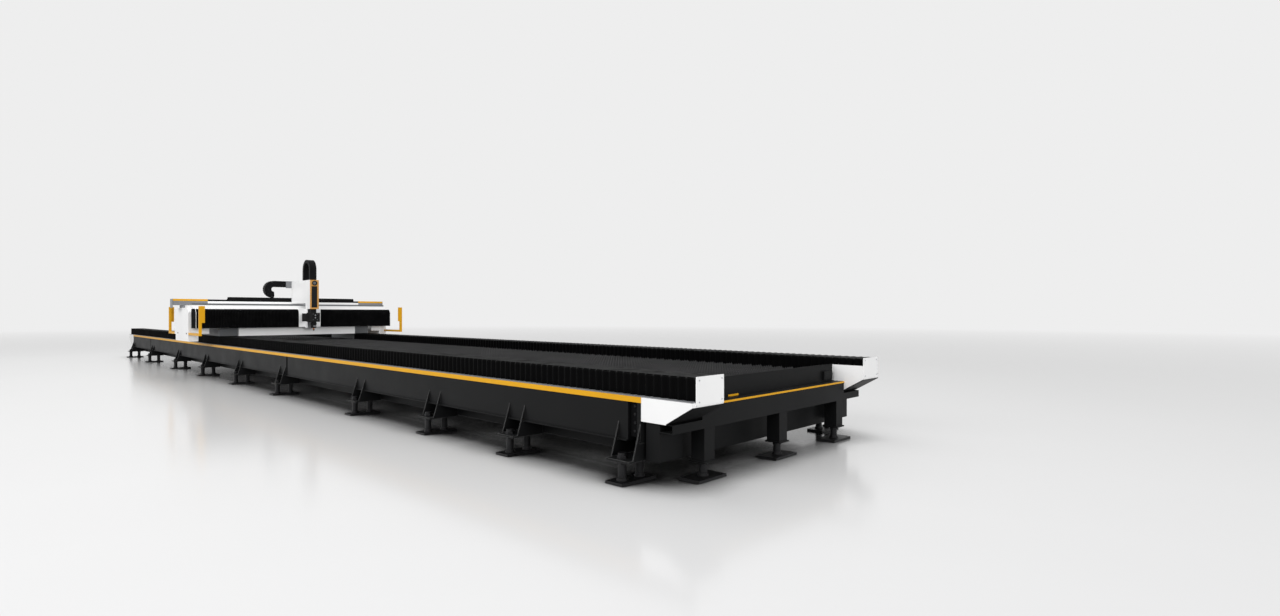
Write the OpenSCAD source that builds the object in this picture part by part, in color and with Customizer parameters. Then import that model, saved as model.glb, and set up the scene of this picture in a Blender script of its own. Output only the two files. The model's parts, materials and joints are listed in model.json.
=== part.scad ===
// Long-bed gantry laser cutting machine.
// X runs along the bed (front end at +X), Y across it, Z up from the floor.
// Stations along the bed are distances back from the front end.

/* [Bed] */
// Width of the bed over the outer faces of the side beams
bed_width = 3474; // [3300:2:3700]
// Width of a side beam
beam_w = 406; // [380:1:440]
// Height of a side beam
beam_h = 390; // [340:1:430]
// Height of the underside of the side beams above the floor
beam_z = 347; // [300:1:400]
// Plate thickness of the side beams
beam_wall = 14; // [8:1:24]
// Thickness of the end plates of a side beam module
beam_end_t = 20; // [12:1:23]
// Radius of the hole in the end plates of a side beam module
beam_end_hole = 90; // [60:1:120]
// How far the bottom lip stands out from the beam face
lip_out = 18; // [8:1:30]
// Thickness of the bottom lip
lip_t = 12; // [6:1:20]
// Station where the side beams begin
nose_start = 570; // [540:1:600]
// Length of the short nose piece of a side beam
nose_len = 48; // [30:1:80]
// Length of the front beam module
front_module_len = 8474; // [8200:1:8700]
// Length of the rear beam module
rear_module_len = 11863; // [11500:1:12200]
// Length of the tail beam module
tail_module_len = 2813; // [2500:1:3000]
// Gap between two beam modules, bridged by a recessed block
joint_gap = 60; // [30:1:120]
// Gap at the front joint
front_joint_gap = 108; // [60:1:140]
// How far a joint block is set back from the beam faces
joint_inset = 36; // [15:1:60]

/* [Trim] */
// Height of the coloured stripe
stripe_h = 48; // [30:1:70]
// Thickness of the coloured stripe
stripe_t = 6; // [3:1:12]
// Thickness of the ledges that carry the bellows
ledge_t = 8; // [4:1:14]
// Width of the ledges
ledge_w = 74; // [50:1:80]

/* [Supports] */
// Distance of the first support behind the start of the side beams
front_foot_in = 140; // [140:1:160]
// Places of the supports along the front module, as shares of its length
front_feet = [0.1915, 0.391, 0.64]; // [0:0.001:1]
// Places of the supports along the rear module, as shares of its length
rear_feet = [0.015, 0.229, 0.452, 0.685, 0.97]; // [0:0.001:1]
// Places of the supports along the tail module, as shares of its length
tail_feet = [0.952]; // [0:0.001:1]
// Length of a foot plate across the bed
foot_len = 422; // [390:1:460]
// Width of a foot plate along the bed
foot_w = 204; // [180:1:240]
// Thickness of a foot plate
foot_t = 25; // [15:1:40]
// How far a foot plate reaches past the beam face
foot_out = 191; // [170:1:220]
// Distance between the two gussets of a bracket
gusset_gap = 262; // [200:1:270]
// Thickness of a gusset
gusset_t = 12; // [8:1:20]
// Height of a gusset above the underside of the beam
gusset_rise = 163; // [120:1:210]
// How far the foot of a gusset is set back from the end of the foot plate
gusset_edge = 98; // [60:1:120]
// Width of a base rail under a side beam
base_rail_w = 100; // [80:1:110]
// Height of a base rail
base_rail_h = 150; // [120:1:160]
// Wall of a base rail
base_rail_wall = 8; // [5:1:12]
// Distance of a base rail from the inner face of its side beam
base_rail_in = 60; // [40:1:65]
// How far the bracket plate is set back from the end of the foot plate
bracket_edge = 40; // [20:1:50]
// Height of the top of the bracket plate
bracket_z = 210; // [180:1:260]
// Thickness of the bracket plate
bracket_t = 20; // [12:1:30]
// Radius of a levelling bolt
jack_r = 38; // [24:0.5:40]
// Clearance around a levelling bolt
jack_clear = 1.5; // [0.5:0.1:3]
// Height of a levelling nut
nut_h = 28; // [18:1:34]
// Radius of a levelling nut over its corners
nut_r = 46; // [40:0.5:52]
// Radius of the swivel base of a levelling bolt
jack_base_r = 50; // [44:0.5:54]
// Height of the swivel base of a levelling bolt
jack_base_h = 24; // [16:1:30]
// Distance between the outer and inner levelling bolts
jack_gap = 215; // [180:1:260]
// Radius of a floor anchor hole
anchor_r = 11; // [8:0.5:14]
// Distance between anchor holes along the bed
anchor_x = 140; // [110:1:160]
// Distance between anchor holes across the bed
anchor_y = 360; // [330:1:380]

/* [Front end] */
// Thickness of the end plates that close the bellows
end_plate_t = 12; // [6:1:20]
// How far an end plate reaches below the top of the side beams
end_plate_down = 27; // [10:1:45]
// How far an end plate rises above the bellows
end_plate_over = 6; // [0:1:15]
// Height of the nose cap
cap_h = 205; // [180:1:240]
// Height of the nose cap at its front
cap_tip_h = 47; // [40:1:70]
// Length of the flat part under the nose cap
cap_flat = 283; // [200:1:330]
// Thickness of the dark plate under the slanted part of the nose cap
cap_skin = 8; // [4:1:14]
// Height of the inner cheek of the nose cap
cheek_h = 118; // [80:1:150]
// Thickness of the inner cheek
cheek_t = 10; // [6:1:14]
// Length of the inner cheek
cheek_len = 377; // [300:1:450]
// Distance of the front panel from the front end
panel_s = 383; // [360:1:400]
// Sheet thickness of the front panel
panel_t = 6; // [3:1:10]
// How far the front panel stands above the table
panel_over = 58; // [30:1:70]
// Width of the socket box on the front panel
socket_w = 190; // [150:1:220]
// Height of the socket box
socket_h = 92; // [70:1:110]
// Depth of the socket box
socket_d = 30; // [15:1:40]
// Distance of the socket box from the end of the front panel
socket_in = 54; // [30:1:80]
// Height of the socket box above the front cross beam
socket_up = 26; // [10:1:40]
// Height of the stripe on the front cross beam
front_stripe_h = 18; // [12:1:30]
// Length of the short stripe at the foot of the front panel
dash_len = 162; // [120:1:200]
// Distance of the short stripe from the near end of the front panel
dash_in = 575; // [500:1:640]
// Height of the underside of the front cross beam
front_beam_z = 455; // [430:1:480]
// Height of the front cross beam between the nose caps
front_beam_h = 213; // [190:1:230]
// Depth of the front cross beam along the bed
front_beam_d = 152; // [146:1:170]
// Station of the front face of the front cross beam
front_beam_s = 237; // [235:1:245]
// How far the lower part of the front cross beam stops short of the beam faces
front_beam_in = 30; // [10:1:60]
// Length of a corner post under the nose caps
corner_len = 150; // [120:1:155]
// Width of a corner post
corner_w = 300; // [260:1:320]
// Height of the underside of the corner posts
corner_z = 200; // [190:1:300]
// Thickness of the sill plate between the corner posts
sill_t = 12; // [8:1:20]
// Height of the underside of the sill plate
sill_z = 150; // [120:1:200]
// Gap between the sill plate and the tray runners above it
sill_gap = 20; // [10:1:60]
// Side of the rear cross tube
end_beam_side = 120; // [100:1:140]
// Distance of the rear cross tube from the rear end
rear_beam_in = 354; // [300:1:400]
// Wall of the cross beams
tube_wall = 8; // [4:1:12]
// Side of a front leg tube
leg_side = 146; // [120:1:150]
// Distance of the outer front legs inside the side of the bed
leg_side_in = 522; // [500:1:560]
// Height of the underside of the front legs
leg_z = 150; // [130:1:180]
// Thickness of the sole plate of a front leg
sole_t = 14; // [8:1:20]
// Side of the sole plate of a front leg
sole_side = 176; // [160:1:200]
// Length of a front foot plate across the bed
front_foot_len = 390; // [350:1:420]
// Width of a front foot plate along the bed
front_foot_w = 225; // [200:1:250]
// Distance between anchor holes of a front foot plate along the bed
front_anchor_x = 161; // [140:1:180]
// Distance between anchor holes of a front foot plate across the bed
front_anchor_y = 328; // [300:1:350]

/* [Rear end] */
// Length of a rear cap
rear_cap_len = 752; // [650:1:850]
// Height of the rear cap
rear_cap_h = 330; // [300:1:360]
// Chamfer of the rear cap
rear_cap_cut = 180; // [100:1:240]
// Radius of the hole in the side of the rear cap
rear_hole_r = 28; // [15:1:40]
// Depth of that hole
rear_hole_d = 60; // [30:1:90]
// Distance of that hole below the top of the rear cap
rear_hole_down = 205; // [150:1:250]

/* [Guides] */
// Width of a bed guide rail
rail_w = 46; // [40:1:50]
// Height of a bed guide rail
rail_h = 40; // [34:1:44]
// Distance of the bed guide rail from the beam face
rail_in = 177; // [165:1:190]
// Side of the bed rack
rack_side = 40; // [36:1:44]
// Distance of the rack from the guide rail
rack_gap = 62; // [54:1:68]
// Depth of the groove in a rail
groove_d = 6; // [3:0.5:8]
// Running clearance of the slider blocks on their rails
run_clear = 0.5; // [0.3:0.1:1]

/* [Bellows] */
// How far the bed bellows are set back from the beam face
bellows_in = 46; // [30:1:60]
// Height of the bed bellows
bellows_h = 193; // [170:1:210]
// Depth of a pleat
pleat_d = 24; // [12:1:30]
// Thickness of the folded wall
fold_t = 6; // [3:0.5:8]
// Clearance at the ends of the bellows
soft_clear = 0.4; // [0.3:0.1:0.8]
// Pleats of a front bellows
front_pleats = 84; // [40:1:90]
// Pleats of a rear bellows
rear_pleats = 58; // [30:1:64]
// Pleats of a bellows on the cross beam
beam_pleats = 22; // [12:1:30]

/* [Table] */
// Height of the top of the slats
table_z = 804; // [780:1:820]
// Height of a slat
slat_h = 100; // [80:1:120]
// Thickness of a slat
slat_t = 6; // [4:1:10]
// Distance from one slat to the next
slat_pitch = 150; // [120:5:300]
// Gap between the slat ends and the side beams
slat_gap = 41; // [30:1:60]
// Distance of the first and last slat from the ends of the machine
slat_start = 430; // [420:1:500]
// Height of a slat carrier bar
carrier_h = 44; // [36:1:60]
// Width of a slat carrier bar
carrier_w = 50; // [40:1:70]
// Distance of the outer carrier bars inside the side beam
carrier_in = 130; // [100:1:180]
// Place of the inner carrier bars, as a share of the way to the outer ones
carrier_mid_share = 0.35; // [0.25:0.01:0.45]
// Side of a cross member
member_side = 100; // [80:1:110]
// Wall of a cross member
member_wall = 6; // [4:1:10]
// Height of a tray runner
runner_h = 60; // [50:1:70]
// Width of a tray runner
runner_w = 50; // [40:1:60]
// Thickness of a tray runner
runner_t = 6; // [4:1:10]
// Distance of the tray runners inside the side beam
runner_in = 140; // [100:1:180]
// Height of a slag tray
tray_h = 44; // [30:1:48]
// Sheet thickness of a slag tray
tray_t = 4; // [2:0.5:6]
// Number of slag trays
tray_count = 8; // [4:1:12]
// Gap between a slag tray and its runners
tray_side_gap = 2; // [1:0.5:4]
// Gap between two slag trays
tray_gap = 30; // [10:1:60]

/* [Gantry] */
// Place of the middle of the gantry along X
gantry_x = -2130; // [-2400:1:-1800]
// Length of the saddles and leg housings along the bed
saddle_len = 1480; // [1400:1:1560]
// Height of the saddles above the ledges of the bed
saddle_lift = 55; // [50:1:60]
// Height of the saddles
saddle_h = 318; // [290:1:340]
// Thickness of the saddle floor
saddle_floor = 25; // [18:1:32]
// Wall of the saddles
saddle_wall = 16; // [10:1:22]
// Length of the solid drive end of a saddle
drive_end = 390; // [330:1:420]
// How far the cross beam reaches past the bed on each side
cross_over = 453; // [390:1:500]
// Height of the front face of the cross beam
cross_face_h = 422; // [400:1:440]
// Height of the cross beam over all
cross_h = 522; // [500:1:560]
// Depth of the cross beam along the bed
cross_d = 1120; // [1080:1:1180]
// Distance of the cross beam front from the front of the saddles
cross_front = 60; // [40:1:90]
// Depth of the sloped top of the cross beam
cross_slope = 210; // [180:1:230]
// Chamfer of the rear top edge of the cross beam
cross_cut = 80; // [50:1:110]
// Plate thickness of the cross beam
cross_wall = 16; // [10:1:22]
// Depth of the skirt under the cross beam
skirt_d = 1060; // [900:1:1070]
// Height of the skirt
skirt_h = 183; // [160:1:184]
// Distance of the skirt from the rear face of the cross beam
skirt_in = 60; // [40:1:120]
// Gap between the skirt and the planes of the inner beam faces
skirt_gap = 8; // [4:1:20]
// Wall of the skirt
skirt_wall = 6; // [3:1:10]
// Thickness of the end plates of the cross beam
cross_end_t = 8; // [5:1:12]
// How far the end plates of the cross beam stand out around the covers
cross_end_out = 6; // [3:1:12]
// Thickness of a leg housing beside the cross beam
leg_box_t = 58; // [45:1:75]
// How far the front of a leg housing is set back from the front of the saddles
leg_front_in = 160; // [100:1:250]
// Height of the underside of a leg housing above that of the saddles
leg_box_up = 27; // [15:1:50]
// How far the top of a leg housing stays below the top of the cross beam
leg_box_down = 60; // [45:1:75]
// Width of the foot of a leg housing across the bed
leg_foot_t = 190; // [120:1:220]
// Height of the underside of the inner part of a leg housing above its foot
leg_inner_up = 165; // [120:1:180]
// Chamfer of the front top corner of a leg housing
leg_box_cut = 100; // [60:1:150]
// Height of the narrow foot of a leg housing
leg_foot_h = 145; // [100:1:180]
// How far the narrow foot is set in at the rear
leg_foot_in = 110; // [60:1:160]
// Sheet thickness of a leg housing
leg_box_wall = 8; // [4:1:12]
// Width of the inner part of a leg housing
leg_inner_w = 340; // [300:1:360]

/* [Guards] */
// Side of a guard tube
guard_side = 50; // [40:1:64]
// Height of the underside of a guard above the foot of the leg housing
guard_up = 145; // [110:1:170]
// Height of a guard
guard_h = 638; // [600:1:680]
// How far a front guard stands ahead of the leg housing
guard_front = 940; // [800:1:1000]
// How far a rear guard stands behind the leg housing
guard_rear = 640; // [560:1:700]
// Width of the plate on a front guard
guard_plate_w = 56; // [40:1:80]
// Height of the plate on a front guard
guard_plate_h = 360; // [300:1:420]
// Thickness of the plate on a front guard
guard_plate_t = 15; // [8:1:20]

/* [Drives] */
// Tooth size of the pinions
tooth_module = 4; // [3:0.5:4]
// Teeth of a pinion
pinion_teeth = 18; // [16:1:19]
// Height of a pinion
pinion_h = 36; // [30:1:38]
// Running clearance of a pinion beside its rack
mesh_clear = 0.6; // [0.3:0.1:1]
// Radius of a pinion shaft
shaft_r = 18; // [14:0.5:20]
// Clearance around a shaft
shaft_clear = 0.5; // [0.3:0.1:1]
// Side of a gearbox
gearbox_side = 120; // [100:1:130]
// Height of a gearbox
gearbox_h = 110; // [90:1:130]
// Side of a motor
motor_side = 110; // [90:1:116]
// Height of a motor
motor_h = 240; // [200:1:260]
// Height of the bed pinions above the ledges
pinion_lift = 2; // [1:0.5:4]
// Height of the cross pinion above the cross beam
y_pinion_lift = 10; // [4:1:14]
// Distance of the cross rack from the edge of the sloped top
y_rack_in = 10; // [5:1:20]
// Distance of a pinion from the rear end of its saddle
pinion_back = 195; // [150:1:230]

/* [Chain] */
// How far the chain tray reaches past the cross beam
tray_over = 230; // [180:1:260]
// Width of the chain tray
chan_w = 240; // [220:1:260]
// Sheet thickness of the chain tray
chan_t = 6; // [3:1:8]
// Height of the chain tray walls
chan_h = 95; // [85:1:110]
// Height of the chain tray above the cross beam
chan_lift = 50; // [30:1:60]
// Length of a support under the chain tray
chan_foot_len = 120; // [80:1:160]
// Places of the supports under the chain tray, as shares of half of the cross beam
chan_feet = [-0.7, -0.25, 0.25, 0.7]; // [-0.9:0.01:0.9]
// Height of the front wall of the tray in the middle
chan_low = 24; // [12:1:40]
// Length of the high end parts of the front wall
chan_end = 670; // [500:1:750]
// Height of the white apron in front of the tray
apron_h = 100; // [80:1:105]
// Height of the coloured strip on the ends of the tray
chan_strip_h = 45; // [30:1:60]
// Distance of the tray from the front edge of the beam top
chan_back = 600; // [590:1:620]
// Width of the energy chains
chain_w = 180; // [150:1:200]
// Height of a chain link
chain_h = 150; // [130:1:154]
// Length of a chain link
link_len = 60; // [50:1:80]
// Gap between two links
link_gap = 4; // [2:0.5:8]
// Outer radius of the bend of the cross chain
bend_r = 210; // [200:1:225]
// Links in the bend of the cross chain
bend_links = 12; // [8:1:16]
// Clearance of a moving chain run
chain_clear = 0.5; // [0.3:0.1:1]
// Rest place of the bend along Y
bend_y = -325; // [-400:1:-300]
// Near end of the lower chain run
lower_y0 = -1300; // [-1400:1:-1290]
// Far end of the lower chain run
lower_y1 = 1640; // [1500:1:1700]
// Distance of the chain clamp from the middle of the carriage
clamp_out = 500; // [460:1:540]
// Thickness of the chain clamp plate
clamp_t = 20; // [12:1:26]
// Depth of the arm that carries the chain clamp
clamp_arm = 48; // [40:1:50]
// How far the arm stands out on the near side of the housing
clamp_near = 120; // [60:1:140]

/* [Carriage] */
// Rest place of the carriage along Y
carriage_y = 160; // [120:1:200]
// Width of the carriage plate
plate_w = 500; // [440:1:540]
// Width of the carriage housing
house_w = 200; // [180:1:220]
// Sheet thickness of the carriage housing
house_wall = 10; // [6:1:12]
// Depth of the front part of the carriage housing
house_front = 290; // [280:1:310]
// How far the housing reaches back over the cross beam
house_back = 960; // [930:1:980]
// Depth of the lower part of the carriage housing
house_neck = 120; // [112:1:126]
// How far the housing reaches below the cross beam
house_drop = 18; // [5:1:30]
// Height of the rear part of the housing above the cross beam
house_lift = 62; // [56:1:80]
// Height of the housing
house_h = 1160; // [1120:1:1200]
// Height of the front frame
frame_h = 700; // [660:1:712]
// Thickness of the front frame
frame_t = 12; // [8:1:16]
// Width of the border of the front frame
frame_rim = 34; // [24:1:44]
// Height of the top panel of the front frame
frame_head = 150; // [136:1:180]
// Thickness of the dark panel behind the frame
slot_t = 8; // [4:1:10]
// Radius of the round port
port_r = 60; // [50:1:66]
// Radius of the recess in the round port
port_in = 44; // [36:1:48]
// Depth of the round port
port_d = 14; // [8:1:24]
// Clearance of the dark panel inside the housing
slot_clear = 0.5; // [0.3:0.1:1]
// Width of a cross beam rail
beam_rail_w = 46; // [40:1:50]
// Height of a cross beam rail
beam_rail_h = 40; // [34:1:44]
// Distance of the rails from the lower and upper edges of the beam front
beam_rail_edge = 92; // [85:1:110]
// Depth of the cover in front of the cross beam
cover_d = 170; // [160:1:190]
// Gap between the covers and the beam face
cover_gap = 5; // [3:0.5:8]
// Height of the covers above the underside of the cross beam
cover_low = 4; // [2:1:10]
// How far the covers rise above the front face of the cross beam
cover_over = 15; // [5:1:25]
// Radius of the round upper front edge of the covers
cover_r = 110; // [80:1:125]
// Width of a slider block
slider_w = 100; // [90:1:110]
// How far a slider block stands above its rail on the cross beam
slider_over = 35; // [25:1:45]
// Length of a slider block
slider_len = 180; // [150:1:200]

/* [Head] */
// Width of a Z guide rail
z_rail_w = 30; // [24:1:34]
// Height of a Z guide rail
z_rail_h = 30; // [26:1:32]
// Distance of the Z rails from the middle
z_rail_y = 55; // [50:1:58]
// Length of a Z rail
z_rail_len = 500; // [460:1:520]
// How far the Z rails reach below the slide plate
z_rail_below = 110; // [100:1:130]
// Height of the slide plate above the lower edge of the housing
slide_up = 140; // [120:1:150]
// Height of the slide plate
slide_h = 320; // [280:1:330]
// Width of the slide plate
slide_w = 160; // [152:1:170]
// Thickness of the slide plate in front of the rails
slide_t = 25; // [18:1:30]
// Gap between the slide plate and the housing
slide_gap = 4; // [2:0.5:6]
// Radius of the Z screw
screw_r = 8; // [6:0.5:10]
// Distance of the Z screw from the housing
screw_out = 20; // [16:0.5:24]
// Side of the Z motor
z_motor_side = 90; // [70:1:110]
// Height of the Z motor
z_motor_h = 170; // [140:1:200]
// Height of the Z motor above the slide plate
z_motor_up = 100; // [90:1:120]
// Height of the laser head above the lower edge of the slide plate
head_up = 10; // [0:1:20]
// Width of the neck of the laser head
head_w = 130; // [110:1:150]
// Depth of the neck of the laser head
head_d = 170; // [150:1:180]
// Height of the neck of the laser head
head_h = 300; // [260:1:310]
// Width of the case of the laser head
case_w = 240; // [200:1:260]
// Height of the case of the laser head
case_h = 218; // [190:1:224]
// Depth of the case of the laser head
case_d = 230; // [200:1:260]
// Gap between the case and the lower part of the housing
case_gap = 12; // [8:1:20]
// Bevel of the case
case_cut = 40; // [20:1:60]
// Radius of the round side cover of the case
side_r = 70; // [50:1:80]
// How far the round side cover stands out from the case
side_out = 70; // [40:1:90]
// Distance of the round side cover from the ends of the case
side_edge = 14; // [8:1:30]
// Radius of the focus barrel
barrel_r = 58; // [46:1:70]
// Length of the focus barrel
barrel_len = 150; // [130:1:160]
// How far the focus ring stands out from the barrel
collar_out = 9; // [5:1:14]
// Height of the focus ring
collar_h = 34; // [20:1:50]
// Distance of the focus ring below the case
collar_down = 30; // [20:1:50]
// Length of the nozzle
nozzle_len = 66; // [50:1:80]
// Length of the cone of the nozzle
cone_len = 46; // [30:1:48]
// Radius of the nozzle at the barrel
nozzle_r = 24; // [18:1:30]
// Radius of the nozzle tip
tip_r = 7; // [5:0.5:10]
// Radius of the gas bore of the nozzle
bore_r = 1.5; // [1:0.25:3]
// Outer radius of the bend of the Z chain
z_bend_r = 250; // [235:1:260]
// Height of the Z chain above the housing
z_chain_up = 501; // [460:1:540]
// How far the Z chain is set back from the front of the neck
z_chain_in = 10; // [5:1:20]
// Gap round the Z chain in the top of the housing
z_slot_gap = 5; // [3:1:8]
// Thickness of the Z chain
z_chain_t = 80; // [70:1:90]
// Width of the Z chain
z_chain_w = 150; // [130:1:156]

/* [Hidden] */
$fn = 48;
eps = 1;

front_start = nose_start + nose_len + front_joint_gap;
rear_start = front_start + front_module_len + joint_gap;
tail_start = rear_start + rear_module_len + joint_gap;
tail_end = tail_start + tail_module_len;
machine_len = tail_end + rear_cap_len + end_plate_t;
half_len = machine_len / 2;
bed_half = bed_width / 2;
beam_top = beam_z + beam_h;
beam_in = bed_half - beam_w;
beam_spans = [
    [nose_start, nose_start + nose_len],
    [front_start, front_start + front_module_len],
    [rear_start, rear_start + rear_module_len],
    [tail_start, tail_end]
];
ledge_top = beam_top + ledge_t;
bellows_out = bed_half - bellows_in;
bellows_z = ledge_top + soft_clear;
bellows_top = bellows_z + bellows_h;

foot_stations = [
    nose_start + front_foot_in,
    for (share = front_feet) front_start + share * front_module_len,
    for (share = rear_feet) rear_start + share * rear_module_len,
    for (share = tail_feet) tail_start + share * tail_module_len
];
foot_y = bed_half + foot_out - foot_len / 2;
foot_end = bed_half + foot_out;
bracket_base = bracket_z - bracket_t;
jack_ys = [foot_y - jack_gap / 2, foot_y + jack_gap / 2];

front_s = end_plate_t;
rear_s = machine_len - end_plate_t;
end_plate_z = beam_top - end_plate_down;
end_plate_top = bellows_top + end_plate_over;
cap_in = beam_in - cheek_t - eps;
cap_z = beam_top - cap_h;
cap_tip_z = beam_top - cap_tip_h;
cheek_top = beam_top + cheek_h;
rear_cap_z = beam_top - rear_cap_h;
front_beam_top = front_beam_z + front_beam_h;
leg_s = front_beam_s + front_beam_d / 2;
leg_y = bed_half - leg_side_in;
rear_beam_s = machine_len - rear_beam_in - end_beam_side;

member_z = table_z - slat_h - carrier_h - member_side;
carrier_z = member_z + member_side;
rear_beam_z = carrier_z - end_beam_side;
runner_z = member_z - runner_h;
slat_half = beam_in - slat_gap;
carrier_y = beam_in - carrier_in;
carrier_mid_y = carrier_y * carrier_mid_share;
runner_y = beam_in - runner_in;
slat_count = floor((machine_len - 2 * slat_start) / slat_pitch);
tray_s0 = leg_s + end_beam_side;
tray_pitch = (rear_beam_s - tray_s0) / tray_count;

rail_y = bed_half - rail_in;
rack_y = rail_y - rail_w / 2 - rack_gap - rack_side / 2;

saddle_x0 = gantry_x - saddle_len / 2;
saddle_x1 = gantry_x + saddle_len / 2;
saddle_z = ledge_top + saddle_lift;
cross_z = saddle_z + saddle_h;
cross_x1 = saddle_x1 + cross_front;
cross_x0 = cross_x1 - cross_d;
cross_top = cross_z + cross_h;
cross_ledge_x = cross_x1 - cross_slope;
cross_half = bed_half + cross_over;
cross_in = cross_half - cross_end_t;
leg_x1 = saddle_x1 - leg_front_in;
leg_in = cross_half - leg_inner_w;
leg_out = cross_half + leg_box_t;
leg_box_z = saddle_z + leg_box_up;
leg_box_top = cross_top - leg_box_down;
guard_z = leg_box_z + guard_up;
guard_top = guard_z + guard_h;

pitch_r = tooth_module * pinion_teeth / 2;
tip_out = pitch_r + tooth_module;
pinion_x = saddle_x0 + pinion_back;
pinion_y = rack_y - rack_side / 2 - tip_out - mesh_clear;
pinion_z = ledge_top + pinion_lift;

tray_half = cross_half + tray_over;
chan_x1 = cross_ledge_x - chan_back;
chan_x0 = chan_x1 - chan_w;
chan_z = cross_top + chan_lift;
chan_top = chan_z + chan_h;
chan_low_half = tray_half - chan_end;
chain_x = (chan_x0 + chan_x1) / 2;
lower_z = chan_z + chan_t;
bend_z = lower_z + chain_h + chain_clear + bend_r;
upper_z = bend_z + bend_r - chain_h;

cover_x1 = cross_x1 + cover_d;
cover_z0 = cross_z + cover_low;
cover_z1 = cross_z + cross_face_h + cover_over;
beam_rail_zs = [cross_z + beam_rail_edge, cross_z + cross_face_h - beam_rail_edge];
plate_t = cover_d - beam_rail_h - slider_over;
plate_x0 = cover_x1 - plate_t;
house_x0 = cover_x1;
house_x1 = house_x0 + house_front;
house_half = house_w / 2;
house_rear = house_x0 - house_back;
house_z = cross_z - house_drop;
house_top = house_z + house_h;
house_floor = cross_top + house_lift;
frame_z = house_top - frame_h;
clamp_y = carriage_y + clamp_out;
y_rack_x = cross_ledge_x - y_rack_in - rack_side / 2;
y_pinion_x = y_rack_x + rack_side / 2 + mesh_clear + tip_out;
y_pinion_z = cross_top + y_pinion_lift;

z_back = house_x0 + house_wall;
slide_z = house_z + slide_up;
z_rail_z = slide_z - z_rail_below;
slide_x0 = z_back + slide_gap;
slide_x1 = z_back + z_rail_h + run_clear + slide_t;
screw_x = z_back + screw_out;
slide_top = slide_z + slide_h;
z_motor_z = slide_top + z_motor_up;
head_z = slide_z + head_up;
head_top = head_z + head_h;
case_x0 = house_x0 + house_neck + case_gap;
barrel_x = case_x0 + case_d / 2;
z_bend_x = slide_x1 + head_d - z_chain_in - z_bend_r;
z_chain_top = house_top + z_chain_up;
z_bend_z = z_chain_top - z_bend_r;
z_leg_x0 = z_bend_x + z_bend_r - z_chain_t;

// Distance from the front end turned into an X place
function fx(s) = half_len - s;

// Points of a grooved guide rail, standing on its base, grown by a clearance
function rail_points(w, h, c) = let (a = w / 2 + c, n = w / 2 - groove_d + c) [
    [-a, -c], [a, -c], [a, h * 0.35], [n, h * 0.5], [a, h * 0.68], [a, h + c],
    [-a, h + c], [-a, h * 0.68], [-n, h * 0.5], [-a, h * 0.35]
];

// Points of a straight-flanked gear
function gear_points(m, teeth) = let (r = m * teeth / 2, step = 360 / teeth) [
    for (i = [0 : teeth - 1])
        for (p = [[-0.32, -1.25], [-0.16, 1], [0.16, 1], [0.32, -1.25]])
            let (a = (i + p[0]) * step, q = r + p[1] * m)
                [q * cos(a), q * sin(a)]
];

// Outline of a channel wall from one foot to the other, its last corner rounded by r
function wall_points(a0, a1, b0, b1, r) = [
    [a0, b0], [a0, b1],
    each r == 0 ? [[a1, b1]] : [for (w = [90 : -30 : 0]) [a1 - r + r * cos(w), b1 - r + r * sin(w)]],
    [a1, b0]
];

// One ring of a folded wall at place l, moved inwards by d and t thick
function fold_ring(l, a0, a1, b0, b1, r, d, t) = let (
    outer = wall_points(a0 + d, a1 - d, b0, b1 - d, r),
    inner = wall_points(a0 + d + t, a1 - d - t, b0, b1 - d - t, r)
) [
    for (p = outer) [l, p[0], p[1]],
    for (k = [len(inner) - 1 : -1 : 0]) [l, inner[k][0], inner[k][1]]
];

// Keeps the near side and repeats it on the far side
module both_sides() {
    children();
    mirror([0, 1, 0]) children();
}

// A profile drawn in Y and Z, run along X between two stations
module along_bed(s0, s1) {
    translate([fx(s1), 0, 0]) rotate([90, 0, 90]) linear_extrude(s1 - s0) children();
}

// A profile drawn in X and Z, run along Y
module across(y0, y1) {
    translate([0, y1, 0]) rotate([90, 0, 0]) linear_extrude(y1 - y0) children();
}

// Turns a shape that lies along X with its foot down, so it lies along Y with its foot towards -X
module on_beam_front() {
    rotate(a = 120, v = [1, 1, 1]) children();
}

// A box between two corners
module box(p, q) {
    translate(p) cube(q - p);
}

// A folded bellows wall along X, channel opening downwards
module bellows(l0, l1, a0, a1, b0, b1, r, pleats) {
    rings = 2 * pleats;
    step = (l1 - l0) / rings;
    places = [for (i = [0 : rings]) fold_ring(l0 + i * step, a0, a1, b0, b1, r, i % 2 * pleat_d, fold_t)];
    size = len(places[0]);
    sides = [
        for (i = [0 : rings - 1])
            for (k = [0 : size - 1])
                let (n = (k + 1) % size)
                    [i * size + k, (i + 1) * size + k, (i + 1) * size + n, i * size + n]
    ];
    first = [for (k = [0 : size / 2 - 2]) [k, k + 1, size - 2 - k, size - 1 - k]];
    last = [for (c = first) [for (k = [3 : -1 : 0]) rings * size + c[k]]];
    polyhedron([for (ring = places) each ring], concat(sides, first, last));
}

// One module of a side beam: a welded box with pierced end plates and a lip along its lower outer edge
module beam_module(s0, s1) {
    difference() {
        along_bed(s0, s1) {
            translate([-bed_half, beam_z]) square([beam_w, beam_h]);
            translate([-bed_half - lip_out, beam_z]) square([lip_out + eps, lip_t]);
        }
        along_bed(s0 + beam_end_t, s1 - beam_end_t)
            translate([-bed_half + beam_wall, beam_z + beam_wall])
                square([beam_w - 2 * beam_wall, beam_h - 2 * beam_wall]);
        along_bed(s0 - eps, s1 + eps)
            translate([-bed_half + beam_w / 2, beam_z + beam_h / 2]) circle(r = beam_end_hole);
    }
}

module side_beams() {
    for (span = beam_spans) beam_module(span[0], span[1]);
}

module near_beams() {
    color("#2f3236") side_beams();
}

module far_beams() {
    color("#2f3236") mirror([0, 1, 0]) side_beams();
}

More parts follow.
